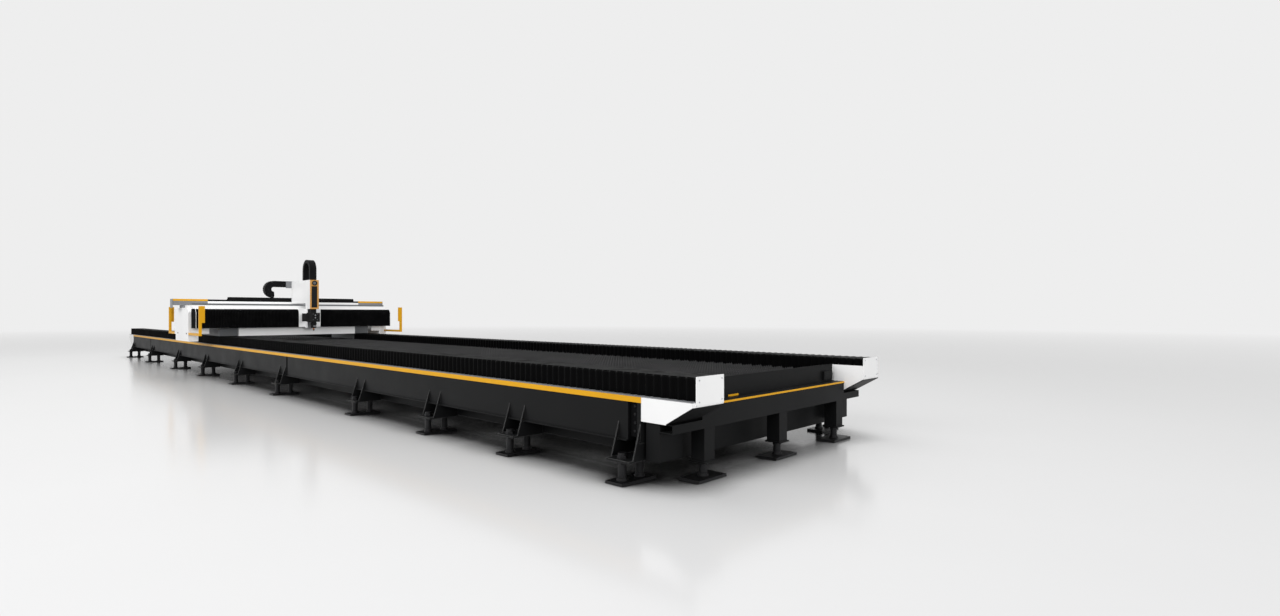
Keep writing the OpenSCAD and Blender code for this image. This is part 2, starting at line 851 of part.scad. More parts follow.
module joint_blocks() {
    color("#141516") both_sides()
        for (i = [1 : len(beam_spans) - 1])
            along_bed(beam_spans[i - 1][1], beam_spans[i][0])
                translate([-bed_half + joint_inset, beam_z + joint_inset])
                    square([beam_w - 2 * joint_inset, beam_h - 2 * joint_inset]);
}

module side_stripes() {
    color("#f5b018") both_sides()
        along_bed(nose_start, tail_end)
            translate([-bed_half - stripe_t, beam_top - stripe_h]) square([stripe_t, stripe_h]);
}

module ledges() {
    color("#8d9196") both_sides()
        along_bed(front_s, rear_s)
            for (y = [-bed_half, -beam_in - ledge_w]) translate([y, beam_top]) square([ledge_w, ledge_t]);
}

// Outline of a foot gusset, notched for the lip of the beam
module gusset_outline() {
    difference() {
        polygon([
            [-bed_half, beam_z + gusset_rise],
            [-foot_end + gusset_edge, bracket_z],
            [-foot_end + foot_len, bracket_z],
            [-foot_end + foot_len, beam_z],
            [-bed_half, beam_z]
        ]);
        translate([-bed_half - lip_out, beam_z - eps / 2]) square([lip_out + eps, lip_t + eps / 2]);
    }
}

module foot_bracket() {
    for (x = [-gusset_gap / 2, gusset_gap / 2])
        translate([x - gusset_t / 2, 0, 0]) rotate([90, 0, 90]) linear_extrude(gusset_t) gusset_outline();
    difference() {
        translate([-gusset_gap / 2 - gusset_t / 2, -foot_end + bracket_edge, bracket_base])
            cube([gusset_gap + gusset_t, foot_len - bracket_edge, bracket_t]);
        for (y = jack_ys)
            translate([0, -y, bracket_base - eps]) cylinder(r = jack_r + jack_clear, h = bracket_t + 2 * eps);
    }
}

// A hollow rail under each side beam, inside its feet
module base_rail() {
    y0 = -beam_in - base_rail_in - base_rail_w;
    y1 = y0 + base_rail_w;
    z0 = beam_z - base_rail_h;
    difference() {
        box([fx(tail_end), y0, z0], [fx(nose_start), y1, beam_z]);
        box([fx(tail_end) - eps, y0 + base_rail_wall, z0 + base_rail_wall],
            [fx(nose_start) + eps, y1 - base_rail_wall, beam_z - base_rail_wall]);
    }
}

module foot_brackets() {
    color("#2f3236") both_sides() {
        for (s = foot_stations) translate([fx(s), 0, 0]) foot_bracket();
        base_rail();
    }
}

// A drilled plate on the floor, its hole pattern centred
module drilled_plate(len_x, len_y, hole_x, hole_y) {
    difference() {
        translate([-len_x / 2, -len_y / 2, 0]) cube([len_x, len_y, foot_t]);
        for (x = [-hole_x / 2, hole_x / 2], y = [-hole_y / 2, hole_y / 2])
            translate([x, y, -eps]) cylinder(r = anchor_r, h = foot_t + 2 * eps);
    }
}

module foot_plates() {
    color("#3a3d41") both_sides()
        for (s = foot_stations)
            translate([fx(s), -foot_y, 0]) drilled_plate(foot_w, foot_len, anchor_x, anchor_y);
}

// A levelling bolt with its lock nuts, standing on a foot plate
module jack(plate_z0, plate_z1) {
    translate([0, 0, foot_t]) cylinder(r1 = jack_base_r, r2 = nut_r, h = jack_base_h);
    translate([0, 0, foot_t]) cylinder(r = jack_r, h = plate_z1 + nut_h + jack_base_h - foot_t);
    for (z = [plate_z0 - nut_h, plate_z1]) translate([0, 0, z]) cylinder(r = nut_r, h = nut_h, $fn = 6);
}

module jack_bolts() {
    color("#8b8f94") {
        both_sides()
            for (s = foot_stations, y = jack_ys)
                translate([fx(s), -y, 0]) jack(bracket_base, bracket_z);
        for (y = [-leg_y, 0, leg_y]) translate([fx(leg_s), y, 0]) jack(leg_z, leg_z + sole_t);
    }
}

module guide_rails() {
    color("#b9bdc2") both_sides()
        along_bed(nose_start, tail_end)
            translate([-rail_y, beam_top]) polygon(rail_points(rail_w, rail_h, 0));
}

module racks() {
    color("#6d7176") both_sides()
        along_bed(nose_start, tail_end)
            translate([-rack_y - rack_side / 2, beam_top]) square(rack_side);
}

module front_bellows() {
    bellows(saddle_x1 + soft_clear, fx(front_s) - soft_clear, -bellows_out, -beam_in, bellows_z, bellows_top,
        0, front_pleats);
}

module rear_bellows() {
    bellows(fx(rear_s) + soft_clear, saddle_x0 - soft_clear, -bellows_out, -beam_in, bellows_z, bellows_top,
        0, rear_pleats);
}

module near_front_bellows() {
    color("#0c0c0d") front_bellows();
}

module far_front_bellows() {
    color("#0c0c0d") mirror([0, 1, 0]) front_bellows();
}

module near_rear_bellows() {
    color("#0c0c0d") rear_bellows();
}

module far_rear_bellows() {
    color("#0c0c0d") mirror([0, 1, 0]) rear_bellows();
}

// White nose cap with a slanted underside and an inner cheek beside the bellows
module front_caps() {
    flat_x = fx(nose_start) + cap_flat;
    color("#f2f3f4") both_sides() {
        across(-bed_half, -cap_in)
            polygon([
                [fx(front_s), cap_tip_z + cap_skin], [fx(front_s), beam_top], [fx(nose_start), beam_top],
                [fx(nose_start), cap_z], [flat_x, cap_z], [flat_x, cap_z + cap_skin]
            ]);
        box([fx(front_s + cheek_len), -cap_in - cheek_t, beam_top - eps], [fx(front_s), -cap_in, cheek_top]);
    }
}

module rear_caps() {
    color("#f2f3f4") both_sides() difference() {
        across(-bed_half, -cap_in)
            polygon([
                [fx(tail_end), rear_cap_z], [fx(tail_end), beam_top], [fx(rear_s), beam_top],
                [fx(rear_s), rear_cap_z + rear_cap_cut], [fx(rear_s) + rear_cap_cut, rear_cap_z]
            ]);
        translate([fx((tail_end + rear_s) / 2), -bed_half - eps, beam_top - rear_hole_down])
            rotate([-90, 0, 0]) cylinder(r = rear_hole_r, h = rear_hole_d + eps);
    }
}

module end_plates() {
    color("#f2f3f4") both_sides()
        for (s = [0, rear_s])
            box([fx(s + end_plate_t), -bellows_out, end_plate_z], [fx(s), -beam_in, end_plate_top]);
}

// Bare upright panel with a socket box, and the dark plates under the nose caps
module front_panel() {
    flat_x = fx(nose_start) + cap_flat;
    panel_x = fx(panel_s);
    socket_y = cap_in - socket_in;
    socket_z = front_beam_top + socket_up;
    color("#26282b") {
        box([panel_x - panel_t, -cap_in, front_beam_top], [panel_x, cap_in, table_z + panel_over]);
        box([panel_x - eps, socket_y - socket_w, socket_z],
            [panel_x + socket_d, socket_y, socket_z + socket_h]);
        both_sides() across(-bed_half, -cap_in)
            polygon([
                [fx(front_s), cap_tip_z], [fx(front_s), cap_tip_z + cap_skin], [flat_x, cap_z + cap_skin],
                [flat_x, cap_z]
            ]);
    }
}

module front_stripe() {
    dash_y = -cap_in + dash_in;
    color("#f5b018") {
        box([fx(front_beam_s), -cap_in, front_beam_top - front_stripe_h],
            [fx(front_beam_s) + stripe_t, cap_in, front_beam_top]);
        box([fx(panel_s), dash_y, front_beam_top],
            [fx(panel_s) + stripe_t, dash_y + dash_len, front_beam_top + front_stripe_h]);
    }
}

// A hollow tube across the bed between two heights
module cross_tube(s, depth, z0, z1, half) {
    difference() {
        box([fx(s + depth), -half, z0], [fx(s), half, z1]);
        box([fx(s + depth) + tube_wall, -half - eps, z0 + tube_wall],
            [fx(s) - tube_wall, half + eps, z1 - tube_wall]);
    }
}

module end_beams() {
    color("#26282b") {
        cross_tube(front_beam_s, front_beam_d, front_beam_z, cap_z, bed_half - front_beam_in);
        cross_tube(front_beam_s, front_beam_d, cap_z - eps, front_beam_top, cap_in);
        cross_tube(rear_beam_s, end_beam_side, rear_beam_z, rear_beam_z + end_beam_side, cap_in);
        both_sides() corner_post();
        front_sill();
    }
}

// Plate across the bed between the rear ends of the corner posts
module front_sill() {
    x0 = fx(front_beam_s + front_beam_d + corner_len);
    half = bed_half - front_beam_in - corner_w + eps;
    box([x0, -half, sill_z], [x0 + sill_t, half, runner_z - sill_gap]);
}

// Closed box behind the front cross beam, under a nose cap
module corner_post() {
    x1 = fx(front_beam_s + front_beam_d);
    y0 = -bed_half + front_beam_in;
    difference() {
        box([x1 - corner_len, y0, corner_z], [x1 + eps, y0 + corner_w, cap_z]);
        box([x1 - corner_len + tube_wall, y0 + tube_wall, corner_z + tube_wall],
            [x1 - tube_wall, y0 + corner_w - tube_wall, cap_z - tube_wall]);
    }
}

module front_legs() {
    tube_z = leg_z + sole_t;
    leg_half = leg_side / 2;
    hollow = leg_half - tube_wall;
    color("#26282b") for (y = [-leg_y, 0, leg_y]) translate([fx(leg_s), y, 0]) {
        difference() {
            box([-leg_half, -leg_half, tube_z - eps], [leg_half, leg_half, front_beam_z]);
            box([-hollow, -hollow, tube_z - 2 * eps], [hollow, hollow, front_beam_z + eps]);
        }
        difference() {
            translate([-sole_side / 2, -sole_side / 2, leg_z]) cube([sole_side, sole_side, sole_t]);
            translate([0, 0, leg_z - eps]) cylinder(r = jack_r + jack_clear, h = sole_t + 2 * eps);
        }
    }
}

module front_foot_plates() {
    color("#3a3d41") for (y = [-leg_y, 0, leg_y])
        translate([fx(leg_s), y, 0])
            drilled_plate(front_foot_w, front_foot_len, front_anchor_x, front_anchor_y);
}

// Welded frame under the slats: cross tubes, carrier bars and tray runners
module table_frame() {
    frame_s0 = slat_start - slat_t;
    frame_s1 = machine_len - slat_start + slat_t;
    color("#3c3f43") {
        for (s = foot_stations) translate([fx(s) - member_side / 2, -beam_in, member_z]) difference() {
            cube([member_side, 2 * beam_in, member_side]);
            translate([member_wall, -eps, member_wall])
                cube([member_side - 2 * member_wall, 2 * (beam_in + eps), member_side - 2 * member_wall]);
        }
        for (y = [-carrier_y, -carrier_mid_y, carrier_mid_y, carrier_y])
            box([fx(frame_s1), y - carrier_w / 2, carrier_z],
                [fx(frame_s0), y + carrier_w / 2, carrier_z + carrier_h]);
        both_sides() along_bed(tray_s0, rear_beam_s) translate([-runner_y, runner_z]) {
            translate([-runner_t, 0]) square([runner_t, runner_h]);
            translate([-eps, 0]) square([runner_w, runner_t]);
        }
    }
}

module slats() {
    color("#4a4d51") for (i = [0 : slat_count])
        translate([fx(slat_start + i * slat_pitch) - slat_t / 2, -slat_half, table_z - slat_h])
            cube([slat_t, 2 * slat_half, slat_h]);
}

module slag_trays() {
    tray_z = runner_z + runner_t;
    tray_half_w = runner_y - tray_side_gap;
    color("#3c3f43") for (i = [0 : tray_count - 1]) {
        tray_len = tray_pitch - tray_gap;
        translate([fx(tray_s0 + i * tray_pitch + tray_len), -tray_half_w, tray_z]) difference() {
            cube([tray_len, 2 * tray_half_w, tray_h]);
            translate([tray_t, tray_t, tray_t])
                cube([tray_len - 2 * tray_t, 2 * (tray_half_w - tray_t), tray_h]);
        }
    }
}

// Saddle with an open pocket under the cross beam and a bored drive end
module saddle() {
    difference() {
        box([saddle_x0, -bellows_out, saddle_z], [saddle_x1, -beam_in, cross_z]);
        box([saddle_x0 + drive_end, -bellows_out + saddle_wall, saddle_z + saddle_floor],
            [saddle_x1 - saddle_wall, -beam_in - saddle_wall, cross_z + eps]);
        translate([pinion_x, -pinion_y, saddle_z - eps])
            cylinder(r = shaft_r + shaft_clear, h = cross_z - saddle_z + 2 * eps);
    }
}

module saddles() {
    color("#9ba0a5") both_sides() saddle();
}

// A block that grips a rail, open underneath, standing on the rail base plane
module slider_block(w, h, top, length) {
    rotate([90, 0, 90]) translate([0, 0, -length / 2]) linear_extrude(length) difference() {
        translate([-slider_w / 2, h * 0.45]) square([slider_w, top - h * 0.45]);
        polygon(rail_points(w, h, run_clear));
    }
}

module gantry_sliders() {
    color("#55595e") both_sides()
        for (x = [saddle_x0 + slider_len, saddle_x1 - slider_len])
            translate([x, -rail_y, beam_top]) slider_block(rail_w, rail_h, saddle_z - beam_top, slider_len);
}

// Outline of the cross beam, shrunk inwards by a wall
module cross_outline(t) {
    polygon([
        [cross_x1 - t, cross_z + t], [cross_x1 - t, cross_z + cross_face_h - t * 0.7],
        [cross_ledge_x - t * 0.2, cross_top - t], [cross_x0 + cross_cut + t * 0.4, cross_top - t],
        [cross_x0 + t, cross_top - cross_cut - t * 0.4], [cross_x0 + t, cross_z + t]
    ]);
}

// Outline of the end plates, carried forward round the covers with the same shoulder
module cross_end_outline() {
    r = cover_r + cross_end_out;
    front = cover_x1 + cross_end_out;
    top = cover_z1 + cross_end_out;
    back = cross_x1 - cross_wall;
    translate([back, cross_z]) square([front - back, top - r - cross_z]);
    translate([back, cross_z]) square([front - r - back, top - cross_z]);
    translate([front - r, top - r]) circle(r = r);
}

// A shallow sheet tray under the cross beam, over the table
module cross_skirt() {
    x0 = cross_x0 + skirt_in;
    half = beam_in - skirt_gap;
    z0 = cross_z - skirt_h;
    difference() {
        box([x0, -half, z0], [x0 + skirt_d, half, cross_z + eps]);
        box([x0 + skirt_wall, -half + skirt_wall, z0 + skirt_wall],
            [x0 + skirt_d - skirt_wall, half - skirt_wall, cross_z - skirt_wall]);
    }
}

module cross_beam() {
    color("#eceded") {
        across(-cross_in, cross_in) difference() {
            cross_outline(0);
            cross_outline(cross_wall);
        }
        for (y = [-cross_half, cross_in]) across(y, y + cross_end_t) {
            cross_outline(0);
            cross_end_outline();
        }
        cross_skirt();
        box([chan_x1, -chan_low_half, cross_top - eps],
            [chan_x1 + chan_t, chan_low_half, cross_top + apron_h]);
    }
}

module beam_rails() {
    color("#b9bdc2") for (z = beam_rail_zs)
        translate([cross_x1, -cross_in, z]) on_beam_front() rotate([90, 0, 90]) linear_extrude(2 * cross_in)
            polygon(rail_points(beam_rail_w, beam_rail_h, 0));
}

module beam_rack() {
    color("#6d7176")
        box([y_rack_x - rack_side / 2, -cross_in, cross_top],
            [y_rack_x + rack_side / 2, cross_in, cross_top + rack_side]);
}

// Sheet housing at the end of the gantry, open towards the machine
module leg_housing() {
    t = leg_box_wall;
    mitre = t * 0.4;
    foot_x = saddle_x0 + leg_foot_in;
    foot_top = leg_box_z + leg_foot_h;
    inner_z = leg_box_z + leg_inner_up;
    difference() {
        union() {
            across(-leg_out, -cross_half)
                polygon([
                    [foot_x, leg_box_z], [leg_x1, leg_box_z], [leg_x1, leg_box_top - leg_box_cut],
                    [leg_x1 - leg_box_cut, leg_box_top], [saddle_x0, leg_box_top],
                    [saddle_x0, foot_top], [foot_x, foot_top]
                ]);
            box([foot_x, -cross_half - eps, inner_z], [leg_x1, -leg_in, cross_z]);
            box([foot_x, -cross_half - eps, leg_box_z], [leg_x1, -leg_out + leg_foot_t, inner_z + eps]);
        }
        across(-leg_out + t, -cross_half + eps)
            polygon([
                [saddle_x0 + t, foot_top + t], [foot_x + t, foot_top + t],
                [foot_x + t, leg_box_z + t], [leg_x1 - t, leg_box_z + t],
                [leg_x1 - t, leg_box_top - leg_box_cut - mitre],
                [leg_x1 - leg_box_cut - mitre, leg_box_top - t], [saddle_x0 + t, leg_box_top - t]
            ]);
        box([foot_x + t, -leg_out + t, inner_z + t], [leg_x1 - t, -leg_in + eps, cross_z - t]);
        box([foot_x + t, -leg_out + t, leg_box_z + t],
            [leg_x1 - t, -leg_out + leg_foot_t - t, inner_z + 2 * t]);
    }
}

module near_leg() {
    color("#f4f5f5") leg_housing();
}

module far_leg() {
    color("#f4f5f5") mirror([0, 1, 0]) leg_housing();
}

// Tube guards on the leg housings, and the coloured strips on the ends of the chain tray
module guards() {
    front_x = leg_x1 + guard_front;
    rear_x = saddle_x0 - guard_rear;
    y0 = -leg_out;
    y1 = y0 + guard_side;
    color("#f5b018") both_sides() {
        box([leg_x1, y0, guard_z], [front_x, y1, guard_z + guard_side]);
        box([front_x - guard_side, y0, guard_z], [front_x, y1, guard_top]);
        box([front_x - guard_plate_t, y1 - eps, guard_top - guard_plate_h],
            [front_x, y1 + guard_plate_w, guard_top]);
        box([rear_x, y0, guard_z], [saddle_x0, y1, guard_z + guard_side]);
        box([rear_x, y0, guard_z], [rear_x + guard_side, y1, guard_top]);
        box([rear_x, y1 - eps, guard_top - guard_plate_h],
            [rear_x + guard_plate_t, y1 + guard_plate_w, guard_top]);
        box([chan_x1, -tray_half, chan_top - chan_strip_h], [chan_x1 + chan_t, -chan_low_half, chan_top]);
    }
}

module gearboxes() {
    color("#6d7176") both_sides()
        translate([pinion_x - gearbox_side / 2, -pinion_y - gearbox_side / 2, cross_z])
            cube([gearbox_side, gearbox_side, gearbox_h]);
}

module motors() {
    color("#1b1c1e") both_sides()
        translate([pinion_x - motor_side / 2, -pinion_y - motor_side / 2, cross_z + gearbox_h])
            cube([motor_side, motor_side, motor_h]);
}

// A pinion on its shaft, axis upright, teeth at the bottom
module pinion(shaft_len) {
    linear_extrude(pinion_h) polygon(gear_points(tooth_module, pinion_teeth));
    translate([0, 0, pinion_h - eps]) cylinder(r = shaft_r, h = shaft_len + eps);
}

module near_pinion() {
    color("#c2c5c9") translate([pinion_x, -pinion_y, pinion_z])
        pinion(cross_z - pinion_z - pinion_h - soft_clear);
}

module far_pinion() {
    color("#c2c5c9") translate([pinion_x, pinion_y, pinion_z])
        pinion(cross_z - pinion_z - pinion_h - soft_clear);
}

module chain_tray() {
    color("#3a3d41") difference() {
        box([chan_x0, -tray_half, chan_z], [chan_x1, tray_half, chan_top]);
        box([chan_x0 + chan_t, -tray_half - eps, chan_z + chan_t],
            [chan_x1 - chan_t, tray_half + eps, chan_top + eps]);
        box([chan_x1 - 2 * chan_t, -chan_low_half, chan_z + chan_low],
            [chan_x1 + eps, chan_low_half, chan_top + eps]);
    }
}

// Supports under the tray, its end plates, and the side plates below the coloured strips
module tray_brackets() {
    color("#b4b8bc") for (share = chan_feet)
        translate([chan_x0, share * cross_half - chan_foot_len / 2, cross_top])
            cube([chan_w, chan_foot_len, chan_lift]);
    color("#b4b8bc") both_sides() {
        box([chan_x0, -leg_out, leg_box_top], [chan_x1, -cross_half, chan_z]);
        box([chan_x0, -tray_half - leg_box_wall, leg_box_top], [chan_x1, -tray_half, chan_top]);
        box([chan_x1, -tray_half, cross_top], [chan_x1 + chan_t, -chan_low_half, chan_top - chan_strip_h]);
    }
}

module chain_lower() {
    count = floor((lower_y1 - lower_y0) / link_len);
    color("#111213") for (i = [0 : count - 1])
        translate([chain_x - chain_w / 2, lower_y0 + i * link_len, lower_z])
            cube([chain_w, link_len - link_gap, chain_h]);
}

// Half ring of links, open towards +Y
module chain_bend() {
    bend_in = bend_r - chain_h;
    color("#111213") translate([chain_x - chain_w / 2, bend_y, bend_z]) rotate([0, 90, 0]) difference() {
        intersection() {
            difference() {
                cylinder(r = bend_r, h = chain_w, $fn = 96);
                translate([0, 0, -eps]) cylinder(r = bend_in, h = chain_w + 2 * eps, $fn = 96);
            }
            translate([-bend_r - eps, -bend_r - eps, -eps])
                cube([2 * (bend_r + eps), bend_r + eps, chain_w + 2 * eps]);
        }
        for (i = [1 : bend_links - 1])
            rotate(180 + i * 180 / bend_links) translate([bend_r - link_gap, -link_gap / 2, -eps])
                cube([2 * link_gap, link_gap, chain_w + 2 * eps]);
    }
}

// Straight run from the bend to the carriage, with a groove between links
module chain_upper() {
    y1 = clamp_y - soft_clear;
    y0 = bend_y + chain_clear;
    z1 = upper_z + chain_h;
    count = floor((y1 - y0) / link_len);
    color("#111213") difference() {
        box([chain_x - chain_w / 2, y0, upper_z], [chain_x + chain_w / 2, y1, z1]);
        for (i = [1 : count])
            translate([chain_x - chain_w / 2 - eps, y0 + i * link_len - link_gap / 2, z1 - link_gap])
                cube([chain_w + 2 * eps, link_gap, 2 * link_gap]);
    }
}

module beam_cover(y0, y1) {
    on_beam_front()
        bellows(y0, y1, cover_z0, cover_z1, cross_x1 + cover_gap, cover_x1, cover_r, beam_pleats);
}

module near_cover() {
    color("#0c0c0d")
        beam_cover(-cross_in + soft_clear, carriage_y - plate_w / 2 - soft_clear);
}

module far_cover() {
    color("#0c0c0d")
        beam_cover(carriage_y + plate_w / 2 + soft_clear, cross_in - soft_clear);
}

module carriage_plate() {
    color("#8d9196")
        box([plate_x0, carriage_y - plate_w / 2, cover_z0], [cover_x1, carriage_y + plate_w / 2, cover_z1]);
}

module carriage_sliders() {
    slider_y = (plate_w - slider_len) / 2;
    color("#55595e")
        for (z = beam_rail_zs, y = [-slider_y, slider_y])
            translate([cross_x1, carriage_y + y, z]) on_beam_front()
                slider_block(beam_rail_w, beam_rail_h, plate_x0 - cross_x1, slider_len);
}

// Sheet housing: a short neck below, a front part above it, and a part that reaches back over the beam
module carriage_housing() {
    t = house_wall;
    back = house_rear;
    neck_x = house_x0 + house_neck;
    y0 = carriage_y - house_half;
    y1 = carriage_y + house_half;
    color("#f0f1f2") difference() {
        across(y0, y1)
            polygon([
                [neck_x, house_z], [neck_x, frame_z], [house_x1, frame_z], [house_x1, house_top],
                [back, house_top], [back, house_floor], [house_x0, house_floor], [house_x0, house_z]
            ]);
        box([house_x0 + t, y0 + t, house_z - eps], [house_x1 + eps, y1 - t, house_top - t]);
        box([back + t, y0 + t, house_floor + t], [house_x1 + eps, y1 - t, house_top - t]);
        translate([y_pinion_x, carriage_y, house_floor - eps])
            cylinder(r = shaft_r + shaft_clear, h = t + 2 * eps);
        box([z_leg_x0 - z_slot_gap, carriage_y - z_chain_w / 2 - z_slot_gap, house_top - 2 * t],
            [z_leg_x0 + z_chain_t + z_slot_gap, carriage_y + z_chain_w / 2 + z_slot_gap, house_top + eps]);
    }
}

module front_frame() {
    y0 = carriage_y - house_half;
    y1 = carriage_y + house_half;
    color("#c98a4b") difference() {
        box([house_x1, y0, frame_z], [house_x1 + frame_t, y1, house_top]);
        box([house_x1 - eps, y0 + frame_rim, frame_z + frame_rim],
            [house_x1 + frame_t + eps, y1 - frame_rim, house_top - frame_head]);
    }
}

module slot_panel() {
    clear = house_wall + slot_clear;
    color("#101112")
        box([house_x1 - slot_t, carriage_y - house_half + clear, frame_z],
            [house_x1, carriage_y + house_half - clear, house_top - clear]);
}

module round_port() {
    color("#0b0b0c") translate([house_x1 + frame_t, carriage_y, house_top - frame_head / 2])
        rotate([0, 90, 0]) difference() {
            cylinder(r = port_r, h = port_d);
            translate([0, 0, port_d / 2]) cylinder(r = port_in, h = port_d);
        }
}

module y_drive() {
    z = house_floor + house_wall;
    color("#1b1c1e") translate([y_pinion_x, carriage_y, z]) {
        translate([-gearbox_side / 2, -gearbox_side / 2, 0]) cube([gearbox_side, gearbox_side, gearbox_h]);
        translate([-motor_side / 2, -motor_side / 2, gearbox_h]) cube([motor_side, motor_side, motor_h]);
    }
}

module y_pinion() {
    color("#c2c5c9") translate([y_pinion_x, carriage_y, y_pinion_z])
        pinion(house_floor + house_wall - y_pinion_z - pinion_h - soft_clear);
}

// Angle behind the housing that holds the moving end of the cross chain
module chain_clamp() {
    z0 = upper_z - clamp_arm / 2;
    z1 = upper_z + chain_h;
    arm_x0 = house_rear - clamp_arm;
    color("#b4b8bc") {
        box([arm_x0, carriage_y - house_half - clamp_near, z0], [house_rear, clamp_y + clamp_t, z1]);
        box([chain_x - chain_w / 2, clamp_y, z0], [arm_x0 + eps, clamp_y + clamp_t, z1]);
    }
}

module z_rails() {
    color("#b9bdc2") for (y = [-z_rail_y, z_rail_y])
        translate([z_back, carriage_y + y, z_rail_z]) rotate([0, 0, -90]) linear_extrude(z_rail_len)
            polygon(rail_points(z_rail_w, z_rail_h, 0));
}

module z_motor() {
    color("#1b1c1e") translate([z_back, carriage_y - z_motor_side / 2, z_motor_z])
        cube([z_motor_side, z_motor_side, z_motor_h]);
}

module z_screw() {
    color("#c2c5c9") translate([screw_x, carriage_y, z_rail_z])
        cylinder(r = screw_r, h = z_motor_z - z_rail_z - soft_clear);
}

// Slide plate that grips both Z rails and carries the screw nut
module slide_plate() {
    color("#a4a8ad") translate([0, carriage_y, slide_z]) difference() {
        translate([slide_x0, -slide_w / 2, 0]) cube([slide_x1 - slide_x0, slide_w, slide_h]);
        for (y = [-z_rail_y, z_rail_y])
            translate([z_back, y, -eps]) rotate([0, 0, -90]) linear_extrude(slide_h + 2 * eps)
                polygon(rail_points(z_rail_w, z_rail_h, run_clear));
        translate([screw_x, 0, -eps]) cylinder(r = screw_r + shaft_clear, h = slide_h + 2 * eps);
    }
}

// Neck behind, bevelled case in front, focus barrel with its ring below
module laser_head() {
    case_x1 = case_x0 + case_d;
    color("#232528") {
        box([slide_x1, carriage_y - head_w / 2, head_z],
            [slide_x1 + head_d, carriage_y + head_w / 2, head_top]);
        translate([0, carriage_y, head_z]) linear_extrude(case_h)
            polygon([
                [case_x0, -case_w / 2], [case_x1 - case_cut, -case_w / 2], [case_x1, -case_w / 2 + case_cut],
                [case_x1, case_w / 2 - case_cut], [case_x1 - case_cut, case_w / 2], [case_x0, case_w / 2]
            ]);
        translate([barrel_x, carriage_y - case_w / 2, head_z + side_edge]) {
            translate([0, -side_out, 0]) cylinder(r = side_r, h = case_h - 2 * side_edge);
            translate([-side_r, -side_out, 0]) cube([2 * side_r, side_out + eps, case_h - 2 * side_edge]);
        }
        translate([barrel_x, carriage_y, head_z - barrel_len]) cylinder(r = barrel_r, h = barrel_len + eps);
        translate([barrel_x, carriage_y, head_z - collar_down - collar_h])
            cylinder(r = barrel_r + collar_out, h = collar_h);
    }
}

module nozzle() {
    tip_z = head_z - barrel_len - nozzle_len;
    color("#c7793d") translate([barrel_x, carriage_y, tip_z]) difference() {
        union() {
            cylinder(r1 = tip_r, r2 = nozzle_r, h = cone_len);
            translate([0, 0, cone_len]) cylinder(r = nozzle_r, h = nozzle_len - cone_len);
        }
        translate([0, 0, -eps]) cylinder(r = bore_r, h = nozzle_len + 2 * eps);
    }
}

// Upright chain loop: from the housing top over to the laser head
module z_chain() {
    z_in = z_bend_r - z_chain_t;
    rear_leg_z = house_top + soft_clear;
    front_leg_z = head_top + soft_clear;
    color("#111213") translate([0, carriage_y - z_chain_w / 2, 0]) {
        translate([z_bend_x, z_chain_w, z_bend_z]) rotate([90, 0, 0]) intersection() {
            difference() {
                cylinder(r = z_bend_r, h = z_chain_w, $fn = 96);
                translate([0, 0, -eps]) cylinder(r = z_in, h = z_chain_w + 2 * eps, $fn = 96);
            }
            translate([-z_bend_r - eps, 0, -eps])
                cube([2 * (z_bend_r + eps), z_bend_r + eps, z_chain_w + 2 * eps]);
        }
        translate([z_bend_x - z_bend_r, 0, rear_leg_z])
            cube([z_chain_t, z_chain_w, z_bend_z - rear_leg_z + eps]);
        translate([z_leg_x0, 0, front_leg_z])
            cube([z_chain_t, z_chain_w, z_bend_z - front_leg_z + eps]);
    }
}

near_beams();
far_beams();
joint_blocks();
side_stripes();
ledges();
foot_brackets();
foot_plates();
jack_bolts();
guide_rails();
racks();
near_front_bellows();
far_front_bellows();
near_rear_bellows();
far_rear_bellows();
front_caps();
rear_caps();
end_plates();
front_panel();
front_stripe();
end_beams();
front_legs();
front_foot_plates();
table_frame();
slats();
slag_trays();
saddles();
gantry_sliders();
cross_beam();
beam_rails();
beam_rack();
near_leg();
far_leg();
guards();
gearboxes();
motors();
near_pinion();
far_pinion();
chain_tray();
tray_brackets();
chain_lower();
chain_bend();
chain_upper();
near_cover();
far_cover();
carriage_plate();
carriage_sliders();
carriage_housing();
front_frame();
slot_panel();
round_port();
y_drive();
y_pinion();
chain_clamp();
z_rails();
z_motor();
z_screw();
slide_plate();
laser_head();
nozzle();
z_chain();
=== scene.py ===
# Looks of the gantry laser cutting machine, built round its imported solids. Lengths are in metres.
import json
import math

import bmesh
import bpy
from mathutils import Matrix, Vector


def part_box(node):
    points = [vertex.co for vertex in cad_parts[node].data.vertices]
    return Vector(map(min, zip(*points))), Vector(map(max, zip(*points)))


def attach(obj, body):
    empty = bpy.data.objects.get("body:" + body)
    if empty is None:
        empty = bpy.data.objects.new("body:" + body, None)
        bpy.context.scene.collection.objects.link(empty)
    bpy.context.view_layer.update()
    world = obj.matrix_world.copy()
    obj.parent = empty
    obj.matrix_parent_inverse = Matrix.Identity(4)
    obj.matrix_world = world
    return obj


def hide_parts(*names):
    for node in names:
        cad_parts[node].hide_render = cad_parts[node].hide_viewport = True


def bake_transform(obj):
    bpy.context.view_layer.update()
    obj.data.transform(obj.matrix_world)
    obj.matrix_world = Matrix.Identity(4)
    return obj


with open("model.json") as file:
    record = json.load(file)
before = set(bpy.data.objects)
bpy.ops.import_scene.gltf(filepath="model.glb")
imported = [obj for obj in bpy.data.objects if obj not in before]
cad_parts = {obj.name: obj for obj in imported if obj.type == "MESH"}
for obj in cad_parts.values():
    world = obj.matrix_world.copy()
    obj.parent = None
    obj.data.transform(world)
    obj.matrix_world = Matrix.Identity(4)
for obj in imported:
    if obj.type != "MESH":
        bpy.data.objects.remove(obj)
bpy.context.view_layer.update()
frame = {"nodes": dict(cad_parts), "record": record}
nodes = frame["nodes"]
scene = bpy.context.scene

